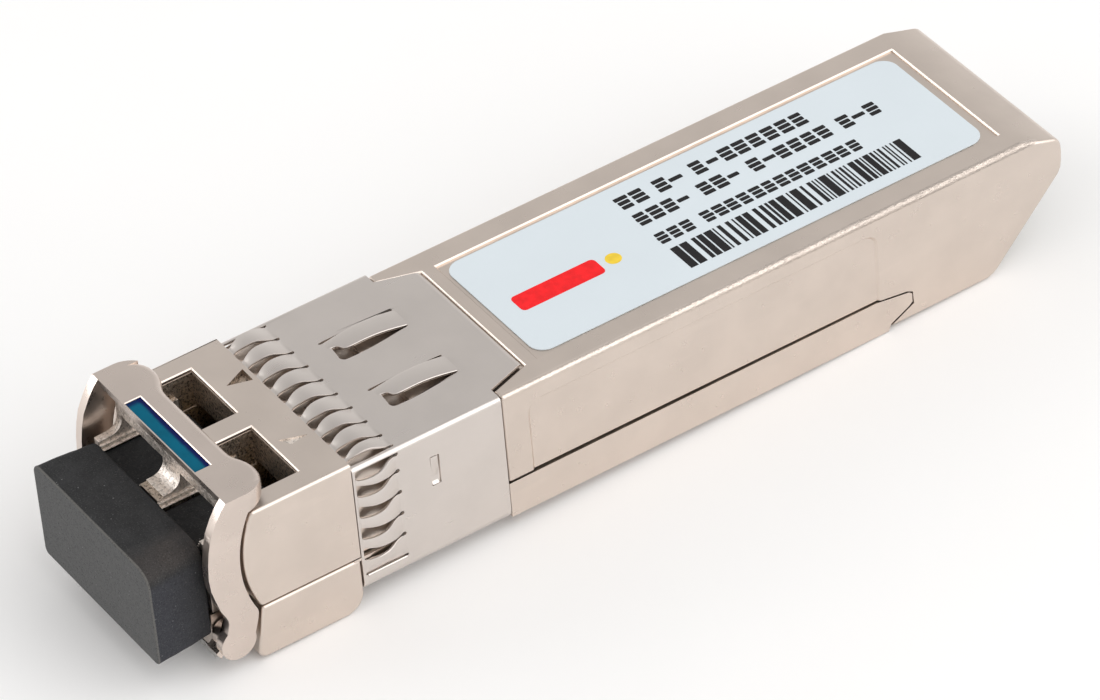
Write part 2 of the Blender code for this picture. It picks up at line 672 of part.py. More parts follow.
def bail_arm_outline():
    """The side view of an arm, from the bridge's front edge down to the lobe and up the concave rear edge."""
    inner_low = arc_angle(2.45, BAIL_ARC_RADIUS)
    inner_high = arc_angle(9.2, BAIL_ARC_RADIUS)
    outline = [(BRIDGE_FRONT_Y, BRIDGE_TOP_Z), (-8.3, 9.75), (-8.84, 8.64), (-9.18, 7.2), (-9.27, 5.94)]
    outline += [(-9.2, 5.0), (-8.85, 3.7), (-8.5, 2.9), (-8.4, 2.5), (-8.48, 2.1)]
    outline += arc(BAIL_PIVOT, LOBE_RADIUS, 125, 370, 14)
    outline += [(-6.55, 2.2)]
    outline += arc(PLATE_ARC_CENTER, BAIL_ARC_RADIUS, inner_low, inner_high, 10)
    outline += [(-5.6, BRIDGE_BOTTOM_Z), (-5.25, 9.55), (-5.15, 9.9), (-5.15, BRIDGE_TOP_Z)]
    return outline


def make_bail():
    corner_center = (NOSE_HALF_WIDTH - BRIDGE_CORNER, BRIDGE_CORNER_REAR_Y - BRIDGE_CORNER)
    bridge_half = [
        (NOSE_HALF_WIDTH, BRIDGE_FRONT_Y),
        *arc(corner_center, BRIDGE_CORNER, 0, 90, 5),
        (4.9, BRIDGE_CORNER_REAR_Y),
        (4.1, -4.98),
        (3.3, BRIDGE_REAR_Y),
    ]
    bridge_outline = bridge_half + [(-x, y) for x, y in reversed(bridge_half)]
    bail = prism("bail", bridge_outline, "z", (BRIDGE_BOTTOM_Z, BRIDGE_TOP_Z))
    bevel(bail, 0.14)
    hollow = [(-8.4, 8.5), (-8.4, LIP_BOTTOM_Z), (-7.6, LIP_BOTTOM_Z), (-7.35, 9.88), (-6.9, 9.5)]
    hollow += [(-6.4, 9.25), (-6.4, 8.5)]
    carve(bail, prism("cut_bridge_front", hollow, "x", (-7.5, 7.5)))
    cam = [(BAIL_PIVOT[0], BAIL_PIVOT[1] + HUB_RADIUS * 0.5)]
    cam += arc(BAIL_PIVOT, CAM_REACH, 198, 222, 3)
    hubs = both_sides((HUB_INNER_X, ARM_INNER_X + 0.2))
    arms = both_sides((ARM_INNER_X, NOSE_HALF_WIDTH))
    for side, arm, hub in zip(("right", "left"), arms, hubs):
        fuse(bail, bevel(prism(f"add_arm_{side}", bail_arm_outline(), "x", arm), 0.1, 1, 60))
        fuse(bail, cylinder(f"add_hub_{side}", "x", (sum(hub) / 2, *BAIL_PIVOT), HUB_RADIUS, hub[1] - hub[0]))
        fuse(bail, prism(f"add_cam_{side}", cam, "x", hub))
    carve(bail, cylinder("cut_bail_bore", "x", (0, *BAIL_PIVOT), PIN_BORE, 2 * NOSE_HALF_WIDTH - 0.5))
    bar_x = (-COLOR_BAR_HALF_WIDTH, COLOR_BAR_HALF_WIDTH)
    carve(bail, box("cut_color_bar", bar_x, COLOR_BAR_Y, (BRIDGE_TOP_Z - COLOR_BAR_DEPTH, BRIDGE_TOP_Z + 1)))
    return finish(bail, "nickel_bail", (0.0, *BAIL_PIVOT))


def make_color_bar():
    gap = 0.03
    bar = box(
        "bail_color_bar",
        (-COLOR_BAR_HALF_WIDTH + gap, COLOR_BAR_HALF_WIDTH - gap),
        (COLOR_BAR_Y[0] + gap, COLOR_BAR_Y[1] - gap),
        (BRIDGE_TOP_Z - COLOR_BAR_DEPTH + gap, BRIDGE_TOP_Z - 0.04),
    )
    return finish(bar, "enamel_blue", (0.0, *BAIL_PIVOT))


def make_pins():
    finish(cylinder("bail_pivot_pin", "x", (0, *BAIL_PIVOT), PIN_RADIUS, 12.9, 16), "pin_steel")
    finish(cylinder("latch_pivot_pin", "x", (0, *ROCKER_PIVOT), ROCKER_PIN_RADIUS, 7.5, 16), "pin_steel")


def make_latch_rocker():
    low = -1.0
    high = low + ROCKER_THICKNESS
    arm_low = 0.05
    outline = [
        (NOSE_FRONT_Y, low),
        (-1.2, low),
        (-0.1, arm_low),
        (ROCKER_REAR_Y, arm_low),
        (ROCKER_REAR_Y, arm_low + ROCKER_THICKNESS),
        (-0.35, arm_low + ROCKER_THICKNESS),
        (-1.45, high),
        (NOSE_FRONT_Y, high),
    ]
    rocker = prism("latch_rocker", outline, "x", (-ROCKER_HALF_WIDTH, ROCKER_HALF_WIDTH))
    bar = box(
        "add_rocker_bar",
        (-ROCKER_BAR_HALF_WIDTH, ROCKER_BAR_HALF_WIDTH),
        (NOSE_FRONT_Y, -7.0),
        (low, high),
    )
    hub = cylinder("add_rocker_hub", "x", (0, *ROCKER_PIVOT), ROCKER_HUB_RADIUS, 2 * ROCKER_HALF_WIDTH - 0.02)
    half = BOSS_WIDTH / 2
    boss_outline = [
        (-half, BOSS_SHOULDER_Y),
        (half, BOSS_SHOULDER_Y),
        (half, BOSS_SHOULDER_Y + 0.4),
        (0.2, BOSS_TIP_Y),
        (-0.2, BOSS_TIP_Y),
        (-half, BOSS_SHOULDER_Y + 0.4),
    ]
    boss = prism("add_latch_boss", boss_outline, "z", (BOSS_BOTTOM_Z, arm_low + 0.2))
    fuse(rocker, bar, hub, boss)
    carve(rocker, cylinder("cut_rocker_bore", "x", (0, *ROCKER_PIVOT), ROCKER_PIN_BORE, 8.0))
    return finish(rocker, "pin_steel", (0.0, *ROCKER_PIVOT))


def make_latch_spring():
    """A leaf spring whose flat end bears on the shell and whose curled end presses on the rocker's arm."""
    line = [(-0.5, 1.2), (0.8, 1.2), (2.0, 1.0), (3.2, 0.74), (3.9, 0.64), (4.4, 0.66), (4.7, 0.8)]
    thickness = 0.1
    outline = line + [(y, z + thickness) for y, z in reversed(line)]
    return finish(prism("latch_spring", outline, "x", (-0.9, 0.9)), "pin_steel")


def make_dust_plug():
    right_radius, left_radius = PLUG_TOP_RADII
    low_z, high_z = PLUG_Z
    half = PLUG_FRONT_HALF_WIDTH
    section = arc((half - right_radius, high_z - right_radius), right_radius, 0, 90, 6)
    section += arc((left_radius - half, high_z - left_radius), left_radius, 90, 180, 5)
    section += arc((PLUG_BOTTOM_RADIUS - half, low_z + PLUG_BOTTOM_RADIUS), PLUG_BOTTOM_RADIUS, 180, 270, 3)
    section += arc((half - PLUG_BOTTOM_RADIUS, low_z + PLUG_BOTTOM_RADIUS), PLUG_BOTTOM_RADIUS, 270, 360, 3)
    plug = prism("dust_plug", section, "y", (PLUG_FRONT_Y, PLUG_REAR_Y))
    for vertex in plug.data.vertices:
        if vertex.co.y > world(0, PLUG_FRONT_Y + 0.1, 0).y:
            vertex.co.x *= PLUG_REAR_HALF_WIDTH / PLUG_FRONT_HALF_WIDTH
    bevel(plug, 0.12)
    prong_z = (OPTICAL_Z - PRONG_HALF_HEIGHT, OPTICAL_Z + PRONG_HALF_HEIGHT)
    prong_x = (PORT_X - PRONG_HALF_WIDTH, PORT_X + PRONG_HALF_WIDTH)
    for side, span in zip(("right", "left"), both_sides(prong_x)):
        prong = box(f"add_prong_{side}", span, (PLUG_REAR_Y - 0.5, PRONG_REAR_Y), prong_z)
        fuse(plug, bevel(prong, 0.15, 1))
        middle = (sum(span) / 2, PRONG_REAR_Y, OPTICAL_Z)
        carve(plug, cylinder(f"cut_prong_{side}", "y", middle, PRONG_BORE, 5.0))
    return finish(plug, "plug_rubber", (0.0, PLUG_REAR_Y, OPTICAL_Z))


def make_label():
    outline = rounded_rectangle((-LABEL_HALF_WIDTH, LABEL_HALF_WIDTH), LABEL_Y, LABEL_CORNER)
    return finish(prism("label", outline, "z", LABEL_Z), "label_film")


def make_subassembly(name, side):
    """A turned optical sub-assembly with its can at the rear, a clamping groove and a barrel in the port."""
    profile = [
        (0.0, 9.2),
        (2.45, 9.2),
        (2.45, 8.5),
        (2.15, 8.4),
        (2.15, 6.7),
        (1.85, 6.7),
        (1.85, 3.9),
        (2.2, 3.9),
        (2.2, 3.25),
        (1.35, 3.25),
        (1.35, 2.25),
        (2.2, 2.25),
        (2.2, 1.65),
        (1.45, 1.65),
        (1.45, -3.85),
        (1.3, -4.0),
        (0.95, -4.0),
        (0.95, -0.3),
        (0.0, -0.3),
    ]
    finish(turned_along_y(name, profile, side * PORT_X, OPTICAL_Z), "can_gold")
    sleeve = [(0.63, -0.45), (0.85, -0.45), (0.85, -3.8), (0.63, -3.8)]
    sleeve_name = name + "_sleeve"
    finish(turned_along_y(sleeve_name, sleeve, side * PORT_X, OPTICAL_Z, True, 16), "sleeve_ceramic")


def make_osa_holder():
    """A plate that drops into both clamping grooves."""
    holder = box("osa_holder", (-5.6, 5.6), (2.45, 3.05), (1.85, 7.4))
    for side, x in (("right", PORT_X), ("left", -PORT_X)):
        carve(holder, cylinder(f"cut_neck_{side}", "y", (x, 2.75, OPTICAL_Z), 1.5, 2.0))
        carve(holder, box(f"cut_neck_slot_{side}", (x - 1.5, x + 1.5), (1.75, 3.75), (OPTICAL_Z, 9.0)))
    return finish(holder, "holder_plastic")


def make_flex(name, side):
    """A flexible circuit that leaves the can's rear face and lies down on the board."""
    thickness = 0.12
    lower = [(9.35, 6.3), (9.35, 4.6)]
    lower += arc((10.65, 4.62), 1.3, 180, 270, 6)
    lower += [(14.2, 3.32)]
    upper = [(14.2, 3.32 + thickness)]
    upper += arc((10.65, 4.62), 1.3 - thickness, 270, 180, 6)
    upper += [(9.35 + thickness, 4.6), (9.35 + thickness, 6.3)]
    span = (side * PORT_X - 1.5, side * PORT_X + 1.5)
    finish(prism(name, lower + upper, "x", span), "flex_amber")


def make_board():
    edge = BOARD_EDGE_HALF_WIDTH
    wide = BOARD_HALF_WIDTH
    outline = [
        (-wide, BOARD_Y[0]),
        (wide, BOARD_Y[0]),
        (wide, BOARD_EDGE_START_Y),
        (edge, BOARD_EDGE_START_Y + 0.9),
        (edge, BOARD_Y[1] - 0.4),
        (edge - 0.4, BOARD_Y[1]),
        (-edge + 0.4, BOARD_Y[1]),
        (-edge, BOARD_Y[1] - 0.4),
        (-edge, BOARD_EDGE_START_Y + 0.9),
        (-wide, BOARD_EDGE_START_Y),
    ]
    board = prism("circuit_board", outline, "z", BOARD_Z)
    pad = 0.04
    pad_y = (BOARD_Y[1] - 3.0, BOARD_Y[1] - 0.5)
    for number in range(CONTACTS_A_SIDE):
        x = (number - (CONTACTS_A_SIDE - 1) / 2) * CONTACT_PITCH
        zs = (BOARD_Z[0] - pad, BOARD_Z[1] + pad)
        fuse(board, box(f"add_contact_{number + 1}", (x - 0.25, x + 0.25), pad_y, zs))
    return finish(board, "board_green")


def make_components():
    """Parts on the board: name, material, middle x, middle y, width, length and height."""
    placed = (
        ("laser_driver", "chip_black", -2.6, 18.0, 4.0, 4.0, 0.85),
        ("limiting_amplifier", "chip_black", 2.6, 18.0, 3.0, 3.0, 0.85),
        ("microcontroller", "chip_black", -0.6, 26.5, 5.0, 5.0, 0.85),
        ("memory_chip", "chip_black", 3.7, 25.6, 2.0, 3.0, 0.75),
        ("crystal", "crystal_silver", 3.6, 28.6, 2.0, 1.6, 0.6),
        ("inductor_1", "inductor_gray", -3.2, 32.5, 2.2, 2.2, 1.2),
        ("inductor_2", "inductor_gray", 0.0, 32.5, 2.2, 2.2, 1.2),
        ("capacitor_1", "capacitor_tan", 3.2, 32.0, 0.8, 1.6, 0.8),
        ("capacitor_2", "capacitor_tan", 4.5, 32.0, 0.8, 1.6, 0.8),
        ("capacitor_3", "capacitor_tan", -2.0, 36.6, 0.5, 1.0, 0.5),
        ("capacitor_4", "capacitor_tan", 2.0, 36.6, 0.5, 1.0, 0.5),
    )
    solder = BOARD_Z[1] + 0.05
    for name, look, x, y, width, length, height in placed:
        xs = (x - width / 2, x + width / 2)
        ys = (y - length / 2, y + length / 2)
        finish(bevel(box(name, xs, ys, (solder, solder + height)), 0.05, 1), look)
    chip_top = solder + 0.85 + 0.05
    pad_top = CEILING_Z - 0.05
    finish(box("thermal_pad_front", (-4.5, 4.0), (16.2, 19.8), (chip_top, pad_top)), "thermal_pink")
    finish(box("thermal_pad_rear", (-2.9, 1.7), (24.2, 28.8), (chip_top, pad_top)), "thermal_pink")
    spacer = box("board_spacer", (-5.4, 5.4), (21.5, 22.7), (solder, pad_top))
    carve(spacer, box("cut_spacer", (-4.4, 4.4), (20.0, 24.0), (0.0, 6.4)))
    finish(spacer, "holder_plastic")


clear_scene()
parts = new_collection("optical_transceiver_module")
cutters = new_collection("cutters")
port_hollows = port_cutters()
make_top_shell()
make_bottom_shell()
make_collar()
make_bail()
make_color_bar()
make_pins()
make_latch_rocker()
make_latch_spring()
make_dust_plug()
make_label()
for subassembly, side in (("tosa", -1), ("rosa", 1)):
    make_subassembly(subassembly, side)
    make_flex(subassembly + "_flex", side)
make_osa_holder()
make_board()
make_components()
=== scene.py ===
"""Looks of the pluggable optical transceiver module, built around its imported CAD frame.

Shapes are given in millimetres from the module's datum: x across, y rearwards from the shoulder behind the
nose, z up from the shell's bottom face. at() turns such a point into metres in the CAD's frame.
"""

import math
import random

import bmesh
import bpy
from mathutils import Matrix, Vector, noise


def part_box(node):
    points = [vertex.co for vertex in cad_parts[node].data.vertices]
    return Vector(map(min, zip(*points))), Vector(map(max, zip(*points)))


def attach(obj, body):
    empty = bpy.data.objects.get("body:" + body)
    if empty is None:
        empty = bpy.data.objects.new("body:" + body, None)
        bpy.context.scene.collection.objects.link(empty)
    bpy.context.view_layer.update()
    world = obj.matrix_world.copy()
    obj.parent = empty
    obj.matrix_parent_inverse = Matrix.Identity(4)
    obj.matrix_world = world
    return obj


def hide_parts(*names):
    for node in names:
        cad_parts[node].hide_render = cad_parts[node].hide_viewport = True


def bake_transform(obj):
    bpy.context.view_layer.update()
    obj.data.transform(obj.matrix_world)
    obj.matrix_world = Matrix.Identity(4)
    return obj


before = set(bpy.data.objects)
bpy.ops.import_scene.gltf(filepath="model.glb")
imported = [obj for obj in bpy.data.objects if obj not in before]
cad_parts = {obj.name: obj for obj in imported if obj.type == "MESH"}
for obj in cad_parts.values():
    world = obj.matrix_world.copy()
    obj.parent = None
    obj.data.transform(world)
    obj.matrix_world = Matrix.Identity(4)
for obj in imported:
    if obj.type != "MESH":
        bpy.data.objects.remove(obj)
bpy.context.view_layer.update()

MM = 0.001
DATUM = Vector((0.0, -17.525, 1.15))
MODULE = "module"
BAIL = "bail"
ROCKER = "latch_rocker"
PLUG = "dust_plug"

SHELL_HALF_WIDTH = 6.7
HOLLOW_HALF_WIDTH = 5.75
SHELL_HEIGHT = 8.5
SEAM_TOP = 2.47
SEAM_BOTTOM = 2.37
NOSE_HALF_WIDTH = 6.85
NOSE_TOP = 9.05
NOSE_BOTTOM = -1.15
NOSE_FRONT = -8.7
STRIP_NOTCH = (-7.97, 8.16)
PORT_X = 3.125
PORT_HALF_WIDTH = 2.255
OPTICAL_Z = 4.45
ARC_CENTER = (0.32, 5.7)
PLATE_ARC = 7.38
BAIL_ARC = 7.62
BAIL_PIVOT = (-7.95, 0.75)
BAIL_BORE = 0.52
BRIDGE_TOP = 10.5
BRIDGE_CORNER = 1.7
BRIDGE_REAR = -4.75
ROCKER_PIVOT = (-4.9, -0.4)
ROCKER_BORE = 0.4
PLUG_FRONT = -12.45
PLUG_REAR = -8.85
PRONG_HALF = 2.1
LABEL_TOP = 8.43
COLLAR_TOP = 8.65
COLLAR_SIDE = 6.85
COLLAR_BOTTOM = -0.1
SHEET = 0.18
FLEX_BEND = (10.65, 4.62)


# -------- shapes


def at(x, y, z):
    return (Vector((x, y, z)) + DATUM) * MM


def spot(axis, position_mm):
    """A datum position on one axis, in metres in the frame."""
    return at(*(position_mm if axis == letter else 0.0 for letter in "xyz"))["xyz".index(axis)]


def placed(mesh):
    obj = bpy.data.objects.new("shape", mesh)
    bpy.context.scene.collection.objects.link(obj)
    return obj


def from_bmesh(shape):
    mesh = bpy.data.meshes.new("shape")
    bmesh.ops.recalc_face_normals(shape, faces=shape.faces)
    shape.to_mesh(mesh)
    shape.free()
    return placed(mesh)


def drop(obj):
    mesh = obj.data
    bpy.data.objects.remove(obj, do_unlink=True)
    bpy.data.meshes.remove(mesh)


def change(obj, kind, **settings):
    """Puts a modifier on the object and applies it to the mesh."""
    modifier = obj.modifiers.new("change", kind)
    for key, value in settings.items():
        setattr(modifier, key, value)
    graph = bpy.context.evaluated_depsgraph_get()
    mesh = bpy.data.meshes.new_from_object(obj.evaluated_get(graph), depsgraph=graph)
    obj.modifiers.clear()
    old = obj.data
    obj.data = mesh
    bpy.data.meshes.remove(old)
    return obj


def round_edges(obj, width, segments=2, angle_deg=30, profile=0.5, clamp=True):
    return change(
        obj, "BEVEL", profile=profile, width=width * MM, segments=segments, limit_method="ANGLE",
        angle_limit=math.radians(angle_deg), miter_outer="MITER_ARC", use_clamp_overlap=clamp,
    )


def round_cut_edges(obj, width, segments, angle_deg):
    """Joins the coplanar faces that cutting leaves, and then rounds the real edges."""
    shape = bmesh.new()
    shape.from_mesh(obj.data)
    bmesh.ops.remove_doubles(shape, verts=shape.verts, dist=2e-7)
    bmesh.ops.dissolve_degenerate(shape, edges=shape.edges, dist=2e-7)
    bmesh.ops.dissolve_limit(shape, angle_limit=math.radians(0.6), verts=shape.verts, edges=shape.edges)
    shape.to_mesh(obj.data)
    shape.free()
    return round_edges(obj, width, segments, angle_deg)


def smooth(obj, angle_deg):
    """Smooth shading whose flat faces stay flat."""
    obj.data.shade_smooth()
    obj.data.set_sharp_from_angle(angle=math.radians(angle_deg))
    return change(obj, "WEIGHTED_NORMAL", keep_sharp=True, weight=100)


def combine(target, tools, operation):
    for tool in tools:
        change(target, "BOOLEAN", operation=operation, solver="EXACT", material_mode="TRANSFER", object=tool)
        drop(tool)
    return target


def cut(target, *tools):
    return combine(target, tools, "DIFFERENCE")


def fuse(target, *tools):
    return combine(target, tools, "UNION")


def join(objects):
    """One object that holds the meshes of several."""
    shape = bmesh.new()
    for obj in objects:
        shape.from_mesh(obj.data)
        drop(obj)
    mesh = bpy.data.meshes.new("shape")
    shape.to_mesh(mesh)
    shape.free()
    return placed(mesh)


def prism(outline, axis, span):
    """An outline of (y, z), (x, z) or (x, y) points extruded along x, y or z."""
    place = {
        "x": lambda u, v, w: at(w, u, v),
        "y": lambda u, v, w: at(u, w, v),
        "z": lambda u, v, w: at(u, v, w),
    }[axis]
    shape = bmesh.new()
    ends = [[shape.verts.new(place(u, v, w)) for u, v in outline] for w in span]
    return wrap(shape, ends, True)


def across(outline, half_width):
    """An outline of (y, z) points extruded evenly to both sides of the middle."""
    return prism(outline, "x", (-half_width, half_width))


def wrap(shape, loops, flip):
    """Faces from each closed loop of vertices to the next, and over both ends."""
    shape.faces.new(loops[0])
    shape.faces.new(loops[-1][::-1])
    for first, second in zip(loops, loops[1:]):
        for index in range(len(first)):
            a, b = index, (index + 1) % len(first)
            if flip:
                a, b = b, a
            shape.faces.new((first[a], first[b], second[b], second[a]))
    return from_bmesh(shape)


def loft(loops, flip=False):
    """A closed solid through loops of (x, y, z) points. The first and last loops are its ends."""
    shape = bmesh.new()
    return wrap(shape, [[shape.verts.new(at(*point)) for point in loop] for loop in loops], flip)


def block(xs, ys, zs):
    return prism([(xs[0], ys[0]), (xs[1], ys[0]), (xs[1], ys[1]), (xs[0], ys[1])], "z", zs)


def rod(axis, center, radius, length, sides=48):
    shape = bmesh.new()
    bmesh.ops.create_cone(
        shape, cap_ends=True, segments=sides, radius1=radius * MM, radius2=radius * MM, depth=length * MM
    )
    turn = {
        "x": Matrix.Rotation(math.pi / 2, 4, "Y"),
        "y": Matrix.Rotation(math.pi / 2, 4, "X"),
        "z": Matrix.Identity(4),
    }[axis]
    bmesh.ops.transform(shape, matrix=Matrix.Translation(at(*center)) @ turn, verts=shape.verts)
    return from_bmesh(shape)


def turned(profile, x, z, sides=56):
    """A closed loop of (radius, y) points turned about a line along y."""
    shape = bmesh.new()
    rings = []
    for radius, y in profile:
        if radius < 1e-6:
            rings.append([shape.verts.new(at(x, y, z))] * sides)
            continue
        ring = []
        for step in range(sides):
            angle = 2 * math.pi * step / sides
            ring.append(shape.verts.new(at(x + radius * math.cos(angle), y, z + radius * math.sin(angle))))
        rings.append(ring)
    for first, second in zip(rings, rings[1:] + rings[:1]):
        for step in range(sides):
            after = (step + 1) % sides
            unique = list(dict.fromkeys((first[step], first[after], second[after], second[step])))
            if len(unique) > 2:
                shape.faces.new(unique)
    return from_bmesh(shape)


def arc(center, radius, start_deg, end_deg, steps):
    points = []
    for step in range(steps + 1):
        angle = math.radians(start_deg + (end_deg - start_deg) * step / steps)
        points.append((center[0] + radius * math.cos(angle), center[1] + radius * math.sin(angle)))
    return points


def nose_arc(radius, start_z, end_z, steps):
    """The arc that the nose's side plates and the bail's arms share, from one height to another."""
    start, end = (180.0 - math.degrees(math.asin((z - ARC_CENTER[1]) / radius)) for z in (start_z, end_z))
    return arc(ARC_CENTER, radius, start, end, steps)


def rounded(xs, ys, radius, steps=8):
    points = []
    corners = ((xs[1], ys[1], 0), (xs[0], ys[1], 90), (xs[0], ys[0], 180), (xs[1], ys[0], 270))
    for x, y, start in corners:
        center_x = x - radius if x == xs[1] else x + radius
        center_y = y - radius if y == ys[1] else y + radius
        points += arc((center_x, center_y), radius, start, start + 90, steps)
    return points


def mouth(xs, ys, low_z, top_z, chamfer, front=1):
    """A rectangular pocket whose mouth is chamfered, on the front side only if asked."""
    loops = []
    for grow, z in ((0.0, low_z), (0.0, top_z - chamfer), (chamfer, top_z), (chamfer, top_z + 1.0)):
        low_x, high_x = xs[0] - grow, xs[1] + grow
        low_y, high_y = ys[0] - grow * front, ys[1] + grow
        loops.append([(low_x, low_y, z), (high_x, low_y, z), (high_x, high_y, z), (low_x, high_y, z)])
    return loft(loops)


def both_sides(xs):
    return xs, (-xs[1], -xs[0])


# -------- materials


def feed(tree, inputs, sources):
    """Links each input to its source, or sets it where the source is a number or a colour."""
    for key, source in sources.items():
        if isinstance(source, bpy.types.NodeSocket):
            tree.links.new(source, inputs[key])
        else:
            inputs[key].default_value = source


def add_node(tree, kind, output, sources, **settings):
    made = tree.nodes.new(kind)
    for key, value in settings.items():
        setattr(made, key, value)
    feed(tree, made.inputs, sources)
    return made.outputs[output]


class Look:
    """A node material with its Principled shader, and short ways to add what feeds it."""

    def __init__(self, name, color, roughness, metallic=0.0):
        self.material = bpy.data.materials.new(name)
        self.material.use_nodes = True
        self.tree = self.material.node_tree
        self.inputs = self.tree.nodes["Principled BSDF"].inputs
        self.color = color
        self.set({"Base Color": (*color, 1.0), "Roughness": roughness, "Metallic": metallic})
        self.points = self.node("ShaderNodeTexCoord", "Object", {})

    def set(self, sources):
        feed(self.tree, self.inputs, sources)

    def node(self, kind, output, sources, **settings):
        return add_node(self.tree, kind, output, sources, **settings)

    def mapped(self, scale, shift):
        sources = {"Vector": self.points, "Scale": scale, "Location": shift}
        return self.node("ShaderNodeMapping", "Vector", sources)

    def noise(self, size_mm, detail=3.0, stretch=(1.0, 1.0, 1.0), rough=0.5, shift=0.0):
        """Noise whose features are about size_mm across, from 0 to 1."""
        scale = tuple(part / (size_mm * MM) for part in stretch)
        vector = self.mapped(scale, (shift, shift * 1.7, shift * 0.6))
        sources = {"Vector": vector, "Scale": 1.0, "Detail": detail, "Roughness": rough}
        return self.node("ShaderNodeTexNoise", "Fac", sources)

    def cells(self, size_mm, shift=0.0):
        vector = self.mapped((1 / (size_mm * MM),) * 3, (shift,) * 3)
        return self.node("ShaderNodeTexVoronoi", "Distance", {"Vector": vector, "Scale": 1.0})

    def span(self, value, low, high, to_low=0.0, to_high=1.0):
        sources = {"Value": value, "From Min": low, "From Max": high, "To Min": to_low, "To Max": to_high}
        return self.node("ShaderNodeMapRange", "Result", sources, clamp=True)

    def math(self, operation, *values):
        return self.node("ShaderNodeMath", "Value", dict(enumerate(values)), operation=operation)

    def times(self, first, second):
        return self.math("MULTIPLY", first, second)

    def coordinate(self, axis):
        return self.node("ShaderNodeSeparateXYZ", axis.upper(), {"Vector": self.points})

    def along(self, axis, start_mm, end_mm, to_low=0.0, to_high=1.0):
        """Runs from to_low at one datum position to to_high at another."""
        return self.span(self.coordinate(axis), spot(axis, start_mm), spot(axis, end_mm), to_low, to_high)

    def edge_band(self, axis, position_mm, width_mm):
        """One at a datum position along an axis, falling to zero half a width to either side."""
        away = self.math("ABSOLUTE", self.math("SUBTRACT", self.coordinate(axis), spot(axis, position_mm)))
        return self.span(away, width_mm * MM * 0.2, width_mm * MM * 0.5, 1.0, 0.0)

    def paint(self, share, color):
        """Mixes a colour over what feeds the base colour so far."""
        base = self.inputs["Base Color"]
        below = base.links[0].from_socket if base.is_linked else tuple(base.default_value)
        sources = {"A": below, "B": (*color, 1.0), "Factor": share}
        self.set({"Base Color": self.node("ShaderNodeMix", "Result", sources, data_type="RGBA")})

    def vary(self, size_mm, amount):
        """Slow lightening and darkening of the base colour."""
        tone = self.noise(size_mm)
        self.paint(self.span(tone, 0.35, 0.5, 1.0, 0.0), scaled(self.color, 1 - amount))
        self.paint(self.span(tone, 0.5, 0.65, 0.0, 1.0), scaled(self.color, 1 + amount))

    def rough_noise(self, size_mm, low, high, stretch=(1.0, 1.0, 1.0)):
        tone = self.noise(size_mm, 4.0, stretch, shift=3.0)
        self.set({"Roughness": self.span(tone, 0.3, 0.7, low, high)})

    def bump(self, value, depth_mm, strength=1.0):
        sources = {"Distance": depth_mm * MM, "Strength": strength, "Height": value}
        normal = self.inputs["Normal"]
        if normal.is_linked:
            sources["Normal"] = normal.links[0].from_socket
        self.set({"Normal": self.node("ShaderNodeBump", "Normal", sources)})

    def shine(self, specular=None, coat=None, coat_roughness=None):
        given = {"Specular IOR Level": specular, "Coat Weight": coat, "Coat Roughness": coat_roughness}
        self.set({key: value for key, value in given.items() if value is not None})


def scaled(color, factor):
    return tuple(min(1.0, channel * factor) for channel in color)


def cast_nickel(name, color, roughness):
    """Satin nickel over a casting: fine blasted grain, slow tone changes, a few pits and rubbed marks."""
    look = Look(name, color, roughness, 1.0)
    look.vary(3.2, 0.03)
    patchy = look.span(look.noise(2.4, shift=5.0), 0.6, 0.72)
    pits = look.times(look.span(look.cells(0.5), 0.0, 0.09, 1.0, 0.0), patchy)
    look.paint(look.times(pits, 0.3), scaled(color, 0.6))
    rubbed = look.span(look.noise(0.9, 5.0, (1.0, 0.18, 1.0), shift=9.0), 0.62, 0.78)
    look.paint(look.times(rubbed, 0.16), scaled(color, 1.2))
    look.rough_noise(0.9, roughness - 0.04, roughness + 0.05)
    look.bump(look.noise(0.06, 4.0), 0.0022, 0.9)
    look.bump(look.noise(1.1, 2.0, shift=2.0), 0.005, 0.4)
    look.bump(pits, 0.006, -0.5)
    beside = look.edge_band("x", SHELL_HALF_WIDTH - 0.1, 0.5)
    chipped = look.times(beside, look.edge_band("z", SHELL_HEIGHT - 0.1, 0.5))
    chipped = look.times(chipped, look.along("y", 12, 36, 0.3, 1.0))
    chips = look.times(chipped, look.noise(0.15, 3.0, (1.0, 0.6, 1.0), 0.65))
    look.bump(chips, 0.13)
    return look.material


def cast_inside(name, color, dark):
    """Rough plated walls inside the ports and windows, as they came from the mould, with a coarse grain of
    darker patches and paler flecks. With a dark base colour and a low dark factor, the walls come out dark as
    painted shade of the deep hollows.
    """
    look = Look(name, color, 0.42, 1.0)
    grain = look.noise(0.16, 4.0, rough=0.65)
    look.paint(look.span(grain, 0.38, 0.5, 1.0, 0.0), scaled(color, dark))
    look.paint(look.span(grain, 0.62, 0.7, 0.0, 0.8), scaled(color, 1.8))
    look.rough_noise(0.2, 0.3, 0.6)
    look.bump(grain, 0.045)
    return look.material


def rolled_sheet(name, color, roughness):
    """Plated spring sheet with faint lines from rolling."""
    look = Look(name, color, roughness, 1.0)
    look.vary(3.2, 0.025)
    look.rough_noise(0.8, roughness - 0.03, roughness + 0.05, (1.0, 0.2, 1.0))
    look.bump(look.noise(0.09, 3.0, (1.0, 0.2, 1.0)), 0.0003, 0.5)
    look.bump(look.noise(0.08), 0.0008, 0.5)
    return look.material


def drawn_steel(name, color, roughness, stretch):
    look = Look(name, color, roughness, 1.0)
    look.vary(1.2, 0.06)
    look.rough_noise(0.2, roughness - 0.06, roughness + 0.08, stretch)
    look.bump(look.noise(0.04, 3.0, stretch), 0.002, 0.8)
    return look.material


